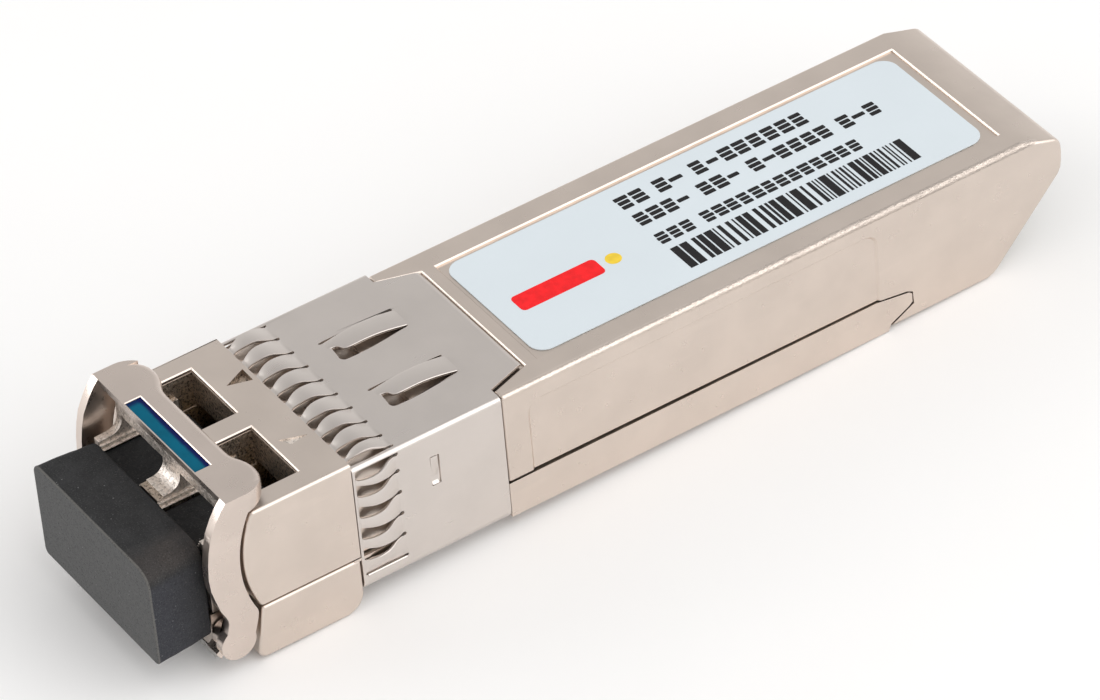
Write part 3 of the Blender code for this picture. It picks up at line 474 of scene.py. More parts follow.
def rubber_look():
    """Soft rubber foam: open grain; a paler front face, partly the cut foam and partly painted light from the
    front, with a painted highlight round its rim; painted light on the right side; and warmer, paler patches
    along the rounded top edge.
    """
    look = Look("plug_rubber_look", (0.027, 0.027, 0.028), 0.85)
    look.vary(1.4, 0.16)
    # Warmer, paler patches over the top near the right-hand rounded edge.
    brown = look.times(look.edge_band("x", 5.0, 3.4), look.edge_band("z", 7.35, 2.0))
    patchy = look.span(look.noise(1.6, shift=6.0), 0.3, 0.66, 0.25, 1.0)
    look.paint(look.times(look.times(brown, patchy), 0.75), (0.062, 0.053, 0.049))
    # Painted light: the right side is painted a little lighter and bluer than the top.
    side = look.times(look.along("x", 5.5, 5.9), look.along("z", 6.6, 6.1))
    look.paint(side, (0.033, 0.034, 0.041))
    # Painted highlight: a pale rim where the front face rounds into the sides.
    look.paint(look.along("y", -12.3, -12.36, 0.0, 0.7), (0.16, 0.155, 0.145))
    # A paler front face, partly the cut foam and partly painted light from the front.
    look.paint(look.along("y", -12.42, -12.445), (0.088, 0.088, 0.088))
    grain = look.noise(0.085, 2.0, rough=0.7)
    look.paint(look.span(grain, 0.58, 0.74, 0.0, 0.42), (0.13, 0.128, 0.122))
    look.paint(look.span(grain, 0.30, 0.44, 0.7, 0.0), (0.012, 0.012, 0.013))
    sparse = look.span(look.noise(0.8, shift=7.0), 0.5, 0.6)
    specks = look.times(look.span(look.cells(0.4, 3.0), 0.0, 0.12, 1.0, 0.0), sparse)
    look.paint(look.times(specks, 0.6), (0.42, 0.42, 0.42))
    look.rough_noise(0.3, 0.78, 0.94)
    look.bump(grain, 0.02, 0.8)
    look.bump(look.noise(0.5, shift=4.0), 0.03, 0.5)
    look.shine(0.3)
    return look.material


def label_look():
    look = Look("label_film_look", (0.675, 0.74, 0.78), 0.42)
    look.vary(6.0, 0.012)
    look.rough_noise(1.2, 0.38, 0.47)
    look.bump(look.noise(0.09), 0.0012, 0.6)
    look.bump(look.noise(3.5, 2.0, shift=8.0), 0.01, 0.35)
    look.shine(None, 0.12, 0.25)
    return look.material


def ink_look(name, color):
    look = Look(name, color, 0.5)
    look.vary(0.5, 0.08)
    paler = tuple(min(1.0, channel + 0.12) for channel in color)
    look.paint(look.span(look.noise(0.06, 2.0), 0.66, 0.76, 0.0, 0.35), paler)
    look.rough_noise(0.3, 0.42, 0.56)
    look.bump(look.noise(0.05, 2.0), 0.001, 0.5)
    look.shine(0.2)
    return look.material


def enamel_look():
    """Blue-green enamel, with painted shade darkening it along the rear and far edges of its recess."""
    painted_edge_shade = (0.004, 0.008, 0.075)
    look = Look("enamel_look", (0.0015, 0.104, 0.172), 0.42)
    look.vary(0.9, 0.08)
    wavy = look.math("MULTIPLY_ADD", look.noise(0.8, 2.0), 0.2 * MM, look.coordinate("y"))
    # Painted shade along the rear edge of the recess, with a wavy border.
    look.paint(look.span(wavy, spot("y", -6.88), spot("y", -6.7)), painted_edge_shade)
    # Painted shade towards the far short edge of the recess.
    look.paint(look.times(look.along("x", -3.1, -3.4), 0.85), painted_edge_shade)
    look.rough_noise(0.4, 0.36, 0.5)
    look.bump(look.noise(0.5, 2.0), 0.006, 0.5)
    look.shine(0.06)
    return look.material


def plastic_look(name, color, roughness, grain=0.12):
    look = Look(name, color, roughness)
    look.vary(1.5, 0.08)
    look.rough_noise(0.4, roughness - 0.06, roughness + 0.08)
    look.bump(look.noise(grain), 0.004, 0.8)
    return look.material


def board_look():
    """Solder mask over copper: slightly lighter tracks, and a weave under it."""
    look = Look("board_look", (0.012, 0.11, 0.045), 0.34)
    vector = look.mapped((900.0, 260.0, 900.0), (0.0, 0.0, 0.0))
    sources = {"Vector": vector, "Scale": 1.0, "Mortar Size": 0.12}
    tracks = look.node("ShaderNodeTexBrick", "Fac", sources, offset=0.37, squash=1.6)
    look.paint(look.span(tracks, 0.0, 1.0, 0.0, 0.7), (0.03, 0.22, 0.085))
    look.vary(1.0, 0.06)
    look.bump(look.noise(0.11, 1.0), 0.004, 0.5)
    look.bump(tracks, 0.012, 0.6)
    look.rough_noise(0.5, 0.3, 0.42)
    look.shine(None, 0.3, 0.2)
    return look.material


def capped_look(name, low_y, high_y):
    """A chip component: a fired body with metal end caps."""
    cap = (high_y - low_y) * 0.22
    look = Look(name, (0.42, 0.27, 0.15), 0.5)
    look.vary(0.3, 0.1)
    near = look.along("y", low_y + cap + 0.03, low_y + cap)
    ends = look.math("MAXIMUM", near, look.along("y", high_y - cap - 0.03, high_y - cap))
    look.paint(ends, (0.72, 0.70, 0.66))
    look.set({"Metallic": ends})
    look.rough_noise(0.1, 0.34, 0.5)
    look.bump(look.noise(0.08), 0.006, 0.8)
    return look.material


def paint_with(obj, material):
    obj.data.materials.clear()
    obj.data.materials.append(material)
    return obj


# Dark walls whose darkness is painted shade of the deep hollows.
INSIDE_SHADE = cast_inside("cast_inside_shade_look", (0.56, 0.47, 0.39), 0.22)
LEDGE = cast_inside("cast_ledge_look", (0.88, 0.80, 0.73), 0.6)
NICKEL = cast_nickel("nickel_shell_look", (0.70, 0.612, 0.545), 0.31)
NICKEL_BAIL = cast_nickel("nickel_bail_look", (0.69, 0.60, 0.54), 0.29)
SHEET_STEEL = rolled_sheet("sheet_steel_look", (0.69, 0.635, 0.595), 0.30)
PIN_STEEL = drawn_steel("pin_steel_look", (0.58, 0.57, 0.56), 0.25, (0.1, 1.0, 1.0))
PRESSED_STEEL = drawn_steel("pressed_steel_look", (0.60, 0.585, 0.57), 0.3, (1.0, 0.1, 1.0))
GOLD = drawn_steel("can_gold_look", (0.78, 0.56, 0.26), 0.27, (1.0, 0.3, 1.0))


def piece(name, obj, material=None, node=None, body=MODULE, crease_deg=32):
    """Hands a finished piece to the frame. Without a material it keeps those it has."""
    if crease_deg:
        smooth(obj, crease_deg)
    if material:
        paint_with(obj, material)
    obj.name = obj.data.name = name
    if body:
        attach(obj, body)
    if node:
        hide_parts(node)


# -------- shells


def port_tools():
    """The hollows of both LC ports, cut from both shells."""
    made = []
    ledges = []
    port = (PORT_X - PORT_HALF_WIDTH, PORT_X + PORT_HALF_WIDTH)
    window = [(-5.9, 11), (-5.9, 7.65), (-3.6, 7.65), (-3.6, 6.45), (-2.45, 6.45), (-2.45, 11)]
    channel = (1.17, 4.9)
    for port_x, channel_x, window_x in zip(*map(both_sides, (port, channel, (0.77, 5.43)))):
        made.append(block(port_x, (-10, -0.5), (2.1, 6.75)))
        for part, (low_z, high_z) in enumerate(((6.55, 6.86), (6.8, 7.1), (7.04, 8.3))):
            wider = 0.14 * part
            shelf = block((channel_x[0] - wider, channel_x[1] + wider), (-10, -3.3), (low_z, high_z))
            ledges.append(paint_with(shelf, LEDGE))
        made.append(prism(window, "x", window_x))
        made.append(rod("y", (sum(port_x) / 2, 0.5, OPTICAL_Z), 1.62, 4.0))
    # The hollows are painted dark, as painted shade deep in the ports and windows.
    return [*(paint_with(tool, INSIDE_SHADE) for tool in made), *ledges]


def panel_tool(side):
    """The shallow panel on one side, whose rim slopes."""
    rims = []
    for grow, depth in ((0.0, 6.57), (0.2, 6.75)):
        rim = [(34.6 + grow, 1.0)]
        rim += arc((33.9, 6.47), 0.7 + grow, 0, 90, 8)
        rim += arc((12.2, 6.47), 0.7 + grow, 90, 180, 8)
        rim += [(11.5 - grow, 1.0)]
        rims.append([(depth, y, z) for y, z in rim])
    outer = [(8.0, y, z) for _, y, z in rims[1]]
    return loft([[(x * side, y, z) for x, y, z in ring] for ring in (*rims, outer)])


def make_top_shell():
    outline = [(9.75, 0.2), (42.1, 0.2), (42.55, 0.35), (42.9, 0.62), (47.3, 5.22), (47.5, 5.62)]
    outline += [(47.56, 6.1), (47.58, 6.7), (47.54, 7.2), (47.42, 7.55), (47.15, 7.8), (44.9, SHELL_HEIGHT)]
    outline += [(9.75, SHELL_HEIGHT)]
    shell = across(outline, SHELL_HALF_WIDTH)
    paint_with(shell, NICKEL)
    round_edges(shell, 0.32, 5, 22, 0.45)
    wrapped = block((-6.55, 6.55), (-0.5, 10.4), (1.4, 8.35))
    plates = [(0.5, 1.4), (0.5, NOSE_TOP), *nose_arc(PLATE_ARC, NOSE_TOP, 1.4, 30)]
    plates = across(plates, NOSE_HALF_WIDTH)
    round_edges(plates, 0.2, 4, 40)
    cut(plates, block((-8, 8), (0.0, 1.0), (0, 11)))
    core = [(-0.2, 1.4), (-0.2, NOSE_TOP - 0.02), (-7.15, NOSE_TOP - 0.02), (-7.17, 8.3)]
    core += [*arc(STRIP_NOTCH, 0.8, 0, -90, 10), (NOSE_FRONT, 7.3), (NOSE_FRONT, 1.4)]
    core = across(core, 5.7)
    fuse(shell, *(paint_with(tool, NICKEL) for tool in (wrapped, plates, core)))
    scoop = [(-9.4, 7.27), (NOSE_FRONT, 7.28), (-7.97, 7.33), *arc(STRIP_NOTCH, 0.83, -90, 0, 10)]
    scoop += [(-7.14, 9.5), (-9.4, 9.5)]
    cut(shell, paint_with(across(scoop, 5.8), LEDGE))
    # A dark strip of painted shade on the nose front below the scoop, where the bail's bridge shades it.
    cut(shell, paint_with(block((-1.3, 1.3), (-9.4, -8.3), (7.2, 8.0)), INSIDE_SHADE))
    seam = [(-10, 2.54), (9.75, 2.54), (34.6, SEAM_TOP), (36.55, 2.18), (36.95, 1.98), (37.0, 1.12)]
    seam += [(35.6, 0.4), (35.5, 0.3), (35.5, -1.0), (-10, -1.0)]
    cut(shell, across(seam, 8))
    hollow = [(1.5, -1), (1.5, 7.6), (44.0, 7.6), (44.3, 7.45), (49, 7.45), (49, -1)]
    cut(shell, across(hollow, HOLLOW_HALF_WIDTH))
    cut(shell, *port_tools())
    round_cut_edges(shell, 0.085, 3, 28)
    seat = []
    for grow, z in ((0.0, 8.3), (0.0, 8.42), (0.08, 8.5), (0.08, 10.0)):
        half = [(5.97 + grow, 9.0), (5.97 + grow, 9.78), (5.12 + grow * 0.9, 12.3 + grow)]
        seat.append([(x, y, z) for x, y in half + [(-x, y) for x, y in reversed(half)]])
    tools = [loft(seat), mouth((-5.05, 5.05), (13.2, 44.35), 8.345, SHELL_HEIGHT, 0.08)]
    tools += [mouth(xs, (-5.92, -2.43), 8.8, NOSE_TOP, 0.07) for xs in both_sides((0.75, 5.45))]
    cut(shell, *(paint_with(tool, NICKEL) for tool in tools))
    round_cut_edges(shell, 0.07, 3, 50)
    cut(shell, panel_tool(1), panel_tool(-1))
    arrow_in = [(-2.96, -1.7), (-2.5, -0.28), (-3.64, -0.26)]
    arrow_out = [(2.67, -1.91), (3.39, -1.52), (3.23, -0.4)]
    # The one arrow's walls are painted dark, as painted shade in the engraving.
    cut(shell, paint_with(prism(arrow_in, "z", (8.72, 10)), INSIDE_SHADE))
    cut(shell, paint_with(prism(arrow_out, "z", (8.98, 10)), LEDGE))
    for low_x, high_x in ((-3.4, -1.15), (1.62, 3.85)):
        cut(shell, block((low_x, high_x), (4.35, 5.9), (7.95, 10)))
    piece("top_shell_casting", shell, None, "top_shell")


def make_bottom_shell():
    outline = [(9.75, 0), (35.2, 0), (35.35, 0.42), (36.65, 1.08), (36.9, 1.3), (36.9, 1.86)]
    outline += [(36.7, 2.04), (34.6, SEAM_BOTTOM), (9.75, SEAM_BOTTOM)]
    shell = across(outline, SHELL_HALF_WIDTH)
    paint_with(shell, NICKEL)
    wrapped = [(-6.55, SEAM_BOTTOM), (-6.55, 0.9), (-5.8, 0.15), (5.8, 0.15), (6.55, 0.9)]
    wrapped = prism([*wrapped, (6.55, SEAM_BOTTOM)], "y", (-0.5, 10.3))
    plates = [(0.0, SEAM_BOTTOM), *arc((-1.25, 0.1), 1.25, 0, -90, 14)]
    plates += [*arc((-6.25, -0.6), 0.55, 270, 185, 10), (-6.3, SEAM_BOTTOM)]
    plates = round_edges(across(plates, NOSE_HALF_WIDTH), 0.2, 4, 40)
    core = block((-5.35, 5.35), (NOSE_FRONT, -2.0), (-0.4, SEAM_BOTTOM))
    fuse(shell, *(paint_with(tool, NICKEL) for tool in (wrapped, plates, core)))
    for xs in both_sides((6.3, 6.82)):
        ridge = block(xs, (-0.4, 2.93), (SEAM_BOTTOM - 0.12, SEAM_BOTTOM + 0.06))
        fuse(shell, paint_with(ridge, NICKEL))
    for half_width, ys, zs in (
        (HOLLOW_HALF_WIDTH, (1.5, 6.6), (1.7, 4)),
        (HOLLOW_HALF_WIDTH, (6.5, 12.0), (0.9, 4)),
        (4.7, (11.9, 33.6), (0.9, 4)),
        (HOLLOW_HALF_WIDTH, (33.5, 40.0), (0.9, 4)),
        (HOLLOW_HALF_WIDTH, (11.8, 40.0), (2.19, 4)),
        (HOLLOW_HALF_WIDTH, (34.9, 40.0), (-1, 4)),
        (5.6, (-10, -6.75), (-3, -0.4)),
        (2.85, (-7.0, -0.8), (-3, 0.55)),
        (2.85, (-0.9, 5.5), (-3, 1.35)),
    ):
        cut(shell, block((-half_width, half_width), ys, zs))
    cut(shell, rod("x", (0, *ROCKER_PIVOT), ROCKER_BORE, 7.8), rod("x", (0, *BAIL_PIVOT), BAIL_BORE, 12.0))
    cut(shell, *port_tools())
    round_cut_edges(shell, 0.06, 3, 28)
    piece("bottom_shell_casting", shell, None, "bottom_shell")


# -------- collar

TOP_SLITS = (-6.44, -5.05, -3.56, -2.07, -0.58, 0.91, 2.38, 3.86, 5.33, 6.44)
SIDE_SLITS = (8.3, 7.12, 5.63, 4.13, 2.66, 1.15)
BOTTOM_SLITS = (5.65, 4.35)
SLIT_ROWS = (
    (0.24, 0.37, 0.34), (0.27, 0.4, 0.385), (0.33, 0.41, 0.405), (0.42, 0.395, 0.41), (0.6, 0.335, 0.39),
    (0.85, 0.265, 0.36), (1.1, 0.225, 0.33), (1.35, 0.2, 0.3), (1.6, 0.178, 0.265), (1.8, 0.155, 0.225),
    (2.0, 0.118, 0.165), (2.15, 0.088, 0.11), (2.3, 0.068, 0.075), (2.5, 0.058, 0.06), (2.68, 0.058, 0.06),
    (2.76, 0.09, 0.1), (2.84, 0.11, 0.12), (2.92, 0.09, 0.1), (2.96, 0.05, 0.05),
)
CROWN = 0.4
CROWN_SPAN = (0.3, 2.75)
LANCE_SHIFTS = (0.0, -5.0)
OPENING_REAR = 5.6
COLLAR_REAR = 9.65
LEAD_IN_ROWS = (11.85, 12.02, 12.18)


def collar_columns():
    """Points round the collar from its far top corner: x, z, outward, crowned, side of slit, what follows."""
    up, right, down = (0.0, 1.0), (1.0, 0.0), (0.0, -1.0)
    columns = []
    last = len(TOP_SLITS) - 1
    for index, slit in enumerate(TOP_SLITS):
        columns.append((slit, COLLAR_TOP, up, index != 0, -1, "slot"))
        columns.append((slit, COLLAR_TOP, up, index != last, 1, None))
    for x, z in arc((COLLAR_SIDE - 0.28, COLLAR_TOP - 0.28), 0.28, 80, 10, 6):
        columns.append((x, z, up, False, 0, None))
    for slit in SIDE_SLITS:
        columns.append((COLLAR_SIDE, slit, right, slit not in (SIDE_SLITS[0], SIDE_SLITS[-1]), -1, "slot"))
        columns.append((COLLAR_SIDE, slit, right, slit != SIDE_SLITS[-1], 1, None))
    for x, z in arc((COLLAR_SIDE - 0.8, COLLAR_BOTTOM + 0.8), 0.8, -4, -86, 10):
        columns.append((x, z, down, False, 0, None))
    for slit in BOTTOM_SLITS:
        columns.append((slit, COLLAR_BOTTOM, down, slit != BOTTOM_SLITS[0], -1, "slot"))
        columns.append((slit, COLLAR_BOTTOM, down, True, 1, None))
    columns.append((3.0, COLLAR_BOTTOM, down, True, 0, "opening"))
    top_count = len(TOP_SLITS) * 2
    lower = columns[top_count:]
    for index, (x, z, outward, crowned, side, _) in reversed(list(enumerate(lower))):
        mirrored = lower[index - 1][5] if index else None
        columns.append((-x, z, (-outward[0], outward[1]), crowned, -side, mirrored))
    return columns, top_count


def crown_at(y):
    along = (y - CROWN_SPAN[0]) / (CROWN_SPAN[1] - CROWN_SPAN[0])
    return CROWN * math.sin(math.pi * along ** 0.85) ** 1.1 if 0 < along < 1 else 0.0


def slit_point(x, z, outward, side, half):
    """A point on a slit's edge. Slits next to a corner widen on one side only, and the lowest not at all."""
    if outward[0]:
        upper = -side * outward[0]
        lowest = z < SIDE_SLITS[-2] - 0.1
        if lowest or (upper > 0 and z > SIDE_SLITS[1] + 0.1):
            return x, z + upper * 0.08
        return x, z + upper * half - 0.35 * max(0.0, half - 0.1)
    direction = side * outward[1]
    outermost = TOP_SLITS[-1] if outward[1] > 0 else BOTTOM_SLITS[0]
    if abs(x) >= abs(outermost) - 0.05 and direction * x > 0:
        return x + direction * 0.06, z
    return x + direction * half, z


def make_collar():
    columns, top_count = collar_columns()
    rear_rows = (OPENING_REAR, COLLAR_REAR, *LEAD_IN_ROWS)
    rows = [(0.05, 0.02, 0.02), *SLIT_ROWS, *((y, 0.02, 0.02) for y in rear_rows)]
    half_widths = zip(rear_rows[1:], (5.9, 5.156, 5.098, 5.044))
    narrowing = {y: half_width / TOP_SLITS[-1] for y, half_width in half_widths}
    lip = dict(zip(LEAD_IN_ROWS[1:], (0.04, 0.13)))
    shape = bmesh.new()
    grid = []
    for y, top_half, side_half in rows:
        line = []
        for column, (x, z, outward, crowned, side, _) in enumerate(columns):
            lift = crown_at(y) if crowned else 0.0
            if side:
                x, z = slit_point(x, z, outward, side, side_half if outward[0] else top_half)
            scale = narrowing.get(y, 1.0) if 0 < column < top_count - 1 else 1.0
            z += lift * outward[1] - lip.get(y, 0.0)
            line.append(shape.verts.new(at(x * scale + lift * outward[0], y, z)))
        grid.append(line)
    for row in range(len(rows) - 1):
        for column, (*_, follows) in enumerate(columns):
            in_slits = 0 < row < len(SLIT_ROWS)
            if follows == "slot" and in_slits:
                continue
            if follows == "opening" and rows[row][0] < OPENING_REAR:
                continue
            if rows[row][0] >= COLLAR_REAR and not 0 < column < top_count - 2:
                continue
            after = (column + 1) % len(columns)
            line, behind = grid[row], grid[row + 1]
            shape.faces.new((line[column], line[after], behind[after], behind[column]))
    loose = [vertex for vertex in shape.verts if not vertex.link_faces]
    bmesh.ops.delete(shape, geom=loose, context="VERTS")
    collar = from_bmesh(shape)
    face = max(collar.data.polygons, key=lambda polygon: polygon.center.z)
    if face.normal.z < 0:
        collar.data.flip_normals()
    change(collar, "SOLIDIFY", thickness=SHEET * MM, offset=-1.0, use_even_offset=True)
    for shift in LANCE_SHIFTS:
        cut(collar, lance_opening(shift))
    for xs in both_sides((6.7, 7.4)):
        cut(collar, block(xs, (4.9, 5.46), (4.95, 6.95)))
    round_edges(collar, 0.045, 2, 40, 0.5, False)
    tongues = [make_lance(shift) for shift in LANCE_SHIFTS]
    tabs = []
    for side in (1, -1):
        outline = [(6.6, 5.0), (6.85, 5.0), (6.67, 5.18), (6.71, 5.6), (6.78, 6.2), (6.83, 6.9), (6.6, 6.9)]
        tab = prism([(x * side, z) for x, z in outline], "y", (4.92, 5.35))
        tabs.append(round_edges(tab, 0.025, 2, 20))
    bars = [rod("y", (x, 1.6, 1.02), 0.09, 2.5, 16) for x in (COLLAR_SIDE - 0.03, 0.03 - COLLAR_SIDE)]
    collar = join([collar, *tongues, *tabs, *bars])
    piece("emi_collar_sheet", collar, SHEET_STEEL, "emi_collar", crease_deg=38)


def lance_opening(shift):
    """The hole round a tongue: a slit on its far side and a leaf-shaped gap beside and in front of it."""
    outline = [(1.68, 4.44), (1.74, 4.36), (1.82, 4.4), (1.86, 4.62), (2.5, 4.75)]
    outline += arc((3.45, 4.97), 0.33, 250, 350, 6)
    outline += [(3.8, 5.6), (3.76, 6.6), (3.66, 7.6), (3.55, 8.4), (3.5, 8.95), (3.45, 9.12), (3.38, 9.05)]
    outline += [(1.84, 9.05), (1.78, 9.14), (1.68, 9.1)]
    return prism([(x + shift, y) for x, y in outline], "z", (8.0, 9.2))


LANCE_EDGE = (
    (9.3, 3.4), (8.9, 3.38), (8.0, 3.3), (7.0, 3.22), (6.0, 3.16), (5.6, 3.12), (5.4, 3.08), (5.25, 3.0),
    (5.2, 2.94), (5.14, 2.82), (5.1, 2.7), (5.04, 2.6), (4.9, 2.52), (4.6, 2.46), (4.2, 2.45),
)


def make_lance(shift):
    """A tongue rooted at its rear end and by one corner of its front end, bowed up in the middle."""
    sections = []
    fine = []
    for (y, x), (after_y, after_x) in zip(LANCE_EDGE, LANCE_EDGE[1:]):
        parts = max(1, round((y - after_y) / 0.2))
        for part in range(parts):
            fine.append((y + (after_y - y) * part / parts, x + (after_x - x) * part / parts))
    for y, high_x in [*fine, LANCE_EDGE[-1]]:
        along = max(0.0, min(1.0, (9.15 - y) / (9.15 - 4.55)))
        top = COLLAR_TOP - 0.005 + 0.24 * math.sin(math.pi * along ** 0.95)
        section = [(1.80, top - 0.03), (1.95, top), (high_x, top)]
        section += [(high_x, top - SHEET + 0.01), (1.80, top - SHEET + 0.01)]
        sections.append([(x + shift, y, z) for x, z in section])
    return round_edges(loft(sections, True), 0.045, 3, 50)


# -------- bail


def arm_outline():
    outline = [(-7.7, BRIDGE_TOP), (-8.05, 10.1), (-8.42, 9.5), (-8.84, 8.64), (-9.06, 7.8), (-9.2, 6.9)]
    outline += [(-9.27, 5.94), (-9.21, 5.09), (-9.02, 4.3), (-8.78, 3.42), (-8.55, 2.95), (-8.42, 2.6)]
    outline += [(-8.4, 2.35), (-8.46, 2.1)]
    outline += arc(BAIL_PIVOT, 1.08, 125, 370, 36)
    outline += [(-6.8, 1.2), (-6.62, 1.8), (-6.55, 2.2)]
    outline += nose_arc(BAIL_ARC, 2.45, 9.2, 26)
    return outline + arc((-5.75, 9.95), 0.6, -60, 0, 6) + [(-5.15, BRIDGE_TOP)]


def soften_rear(bail):
    """Rounds the bridge's rear top edge and leaves the front one crisp."""
    shape = bmesh.new()
    shape.from_mesh(bail.data)
    top = spot("z", BRIDGE_TOP)
    front = spot("y", -7.6)
    edges = [
        edge for edge in shape.edges
        if all(abs(vertex.co.z - top) < 1e-7 for vertex in edge.verts)
        and sum(vertex.co.y for vertex in edge.verts) / 2 > front
    ]
    bmesh.ops.bevel(
        shape, geom=edges, offset=0.45 * MM, segments=6, affect="EDGES", profile=0.5, clamp_overlap=True
    )
    shape.to_mesh(bail.data)
    shape.free()


def make_bail():
    corner_x = NOSE_HALF_WIDTH - BRIDGE_CORNER
    corner = arc((corner_x, BRIDGE_REAR - BRIDGE_CORNER), BRIDGE_CORNER, 0, 90, 12)
    half = [(NOSE_HALF_WIDTH, -7.7), *corner, (4.9, BRIDGE_REAR)]
    half += [(4.5, -4.82), (4.1, -4.98), (3.75, -5.16), (3.4, -5.27), (3.0, -5.3)]
    bail = prism(half + [(-x, y) for x, y in reversed(half)], "z", (9.3, BRIDGE_TOP))
    soften_rear(bail)
    under = [(-8.4, 8.0), (-8.4, 10.08), (-7.66, 10.08), (-7.4, 9.95), (-6.9, 9.5), (-5.95, 9.29)]
    under += [(-5.6, 9.45), (-5.35, 9.62), (-5.2, 9.85), (-4.0, 9.95), (-4.0, 8.0)]
    cut(bail, across(under, 8))
    for xs in both_sides((6.25, NOSE_HALF_WIDTH)):
        fuse(bail, prism(arm_outline(), "x", xs))
    outside = [*corner, (corner_x, -4.3), (7.4, -4.3), (7.4, BRIDGE_REAR - BRIDGE_CORNER)]
    for side in (1, -1):
        cut(bail, prism([(x * side, y) for x, y in outside], "z", (9.2, 11.0)))
    cam = [(BAIL_PIVOT[0], BAIL_PIVOT[1] + 0.45)] + arc(BAIL_PIVOT, 1.3, 198, 222, 8)
    for xs in both_sides((5.45, 6.45)):
        fuse(bail, rod("x", (sum(xs) / 2, *BAIL_PIVOT), 0.9, xs[1] - xs[0]))
        fuse(bail, prism(cam, "x", xs))
    cut(bail, rod("x", (0, *BAIL_PIVOT), BAIL_BORE, 13.2))
    round_cut_edges(bail, 0.14, 4, 32)
    cut(bail, mouth((-3.6, 3.6), (-7.62, -6.62), 10.3, BRIDGE_TOP, 0.05, 0))
    piece("bail_casting", bail, NICKEL_BAIL, "bail", BAIL)
    bar = prism(rounded((-3.59, 3.59), (-7.6, -6.63), 0.04), "z", (10.31, 10.42))
    round_edges(bar, 0.03, 3, 40)
    piece("bail_enamel_bar", bar, enamel_look(), "bail_color_bar", BAIL)


# -------- plug


def make_plug():
    """A soft block with rounded long edges, cut off flat in front, and a hollow prong for each port."""
    section = arc((4.9, 6.25), 1.1, 0, 90, 16) + arc((-5.35, 6.7), 0.65, 90, 180, 10)
    section += arc((-5.6, 1.3), 0.4, 180, 270, 6) + arc((5.6, 1.3), 0.4, 270, 360, 6)
    noise.seed_set(5)
    slices = 16
    loops = []
    for index in range(slices + 1):
        along = index / slices
        y = PLUG_FRONT + (PLUG_REAR - PLUG_FRONT) * along
        loop = []
        for x, z in dense(section, 0.35):
            point = Vector((x * (1.0 - 0.068 * along), y, z))
            if 0 < index < slices:
                wander = noise.noise_vector(point * 0.55) * 0.05 + noise.noise_vector(point * 2.1) * 0.02
                point += Vector((wander.x, 0.0, wander.z))
            loop.append(point)
        loops.append(loop)
    parts = [round_edges(loft(loops, True), 0.12, 4, 50)]
    prong_z = (OPTICAL_Z - PRONG_HALF, OPTICAL_Z + PRONG_HALF)
    for xs in both_sides((PORT_X - PRONG_HALF, PORT_X + PRONG_HALF)):
        prong = prism(rounded(xs, prong_z, 0.3), "y", (-9.3, -3.2))
        cut(prong, rod("y", (sum(xs) / 2, -3.2, OPTICAL_Z), 1.75, 5.0))
        parts.append(round_cut_edges(prong, 0.12, 3, 40))
    piece("dust_plug_body", join(parts), rubber_look(), "dust_plug", PLUG, 40)


def dense(outline, spacing):
    """The same closed outline with points no further apart than the spacing."""
    points = []
    for start, end in zip(outline, outline[1:] + outline[:1]):
        length = math.dist(start, end)
        parts = max(1, math.ceil(length / spacing))
        for part in range(parts):
            share = part / parts
            points.append(tuple(a + (b - a) * share for a, b in zip(start, end)))
    return points


# -------- label and its print


INK_SPAN = (LABEL_TOP + 0.001, LABEL_TOP + 0.008)


def print_on_label(name, shapes, look):
    piece(name, join(shapes), look, crease_deg=None)


def make_label():
    film = prism(rounded((-4.8, 4.8), (13.45, 43.8), 1.0, 14), "z", (8.35, LABEL_TOP))
    round_edges(film, 0.025, 2, 60)
    piece("label_sheet", film, label_look(), "label")
    rng = random.Random(41)
    dashes = []
    rows = (
        (-3.78, -2.62, 24.1, 37.0, (2, 2, 8)),
        (-1.95, -0.82, 24.1, 40.8, (4, 3, 6, 3)),
        (0.22, 1.22, 24.1, 38.0, (3, 13)),
    )
    for low_x, high_x, start, end, words in rows:
        glyphs = sum(words)
        gap = 0.55
        pitch = (end - start - gap * (len(words) - 1)) / glyphs
        y = start
        for word in words:
            for _ in range(word):
                dashes += greeked(rng, low_x, high_x, y, pitch)
                y += pitch
            y += gap
    black = ink_look("label_ink_look", (0.012, 0.011, 0.012))
    print_on_label("label_rows_print", dashes, black)
    bars = []
    y = 24.2
    while y < 39.7:
        width = rng.choice((0.1, 0.1, 0.17, 0.25, 0.38, 0.5))
        bars.append(block((1.8, 3.93), (y, y + width), INK_SPAN))
        y += width + rng.choice((0.1, 0.13, 0.2, 0.3))
    print_on_label("label_bars_print", bars, black)
    mark = prism(rounded((-0.2, 1.25), (14.85, 20.4), 0.3), "z", INK_SPAN)
    print_on_label("label_mark_print", [mark], ink_look("label_red_look", (0.88, 0.012, 0.016)))
    dot = prism(arc((0.52, 21.3), 0.48, 0, 350, 35), "z", INK_SPAN)
    print_on_label("label_dot_print", [dot], ink_look("label_amber_look", (0.85, 0.60, 0.05)))


def greeked(rng, low_x, high_x, y, pitch):
    """Stacked short dashes in place of one printed character."""
    made = []
    height = high_x - low_x
    levels = rng.choice(((0.0, 0.36, 0.72),) * 4 + ((0.36,),))
    for level in levels:
        left = y + pitch * rng.uniform(0.02, 0.1)
        right = y + pitch * rng.uniform(0.8, 0.92)
        low = low_x + height * level
        made.append(prism(rounded((low, low + height * 0.28), (left, right), 0.06, 3), "z", INK_SPAN))
    return made


# -------- latch and pins


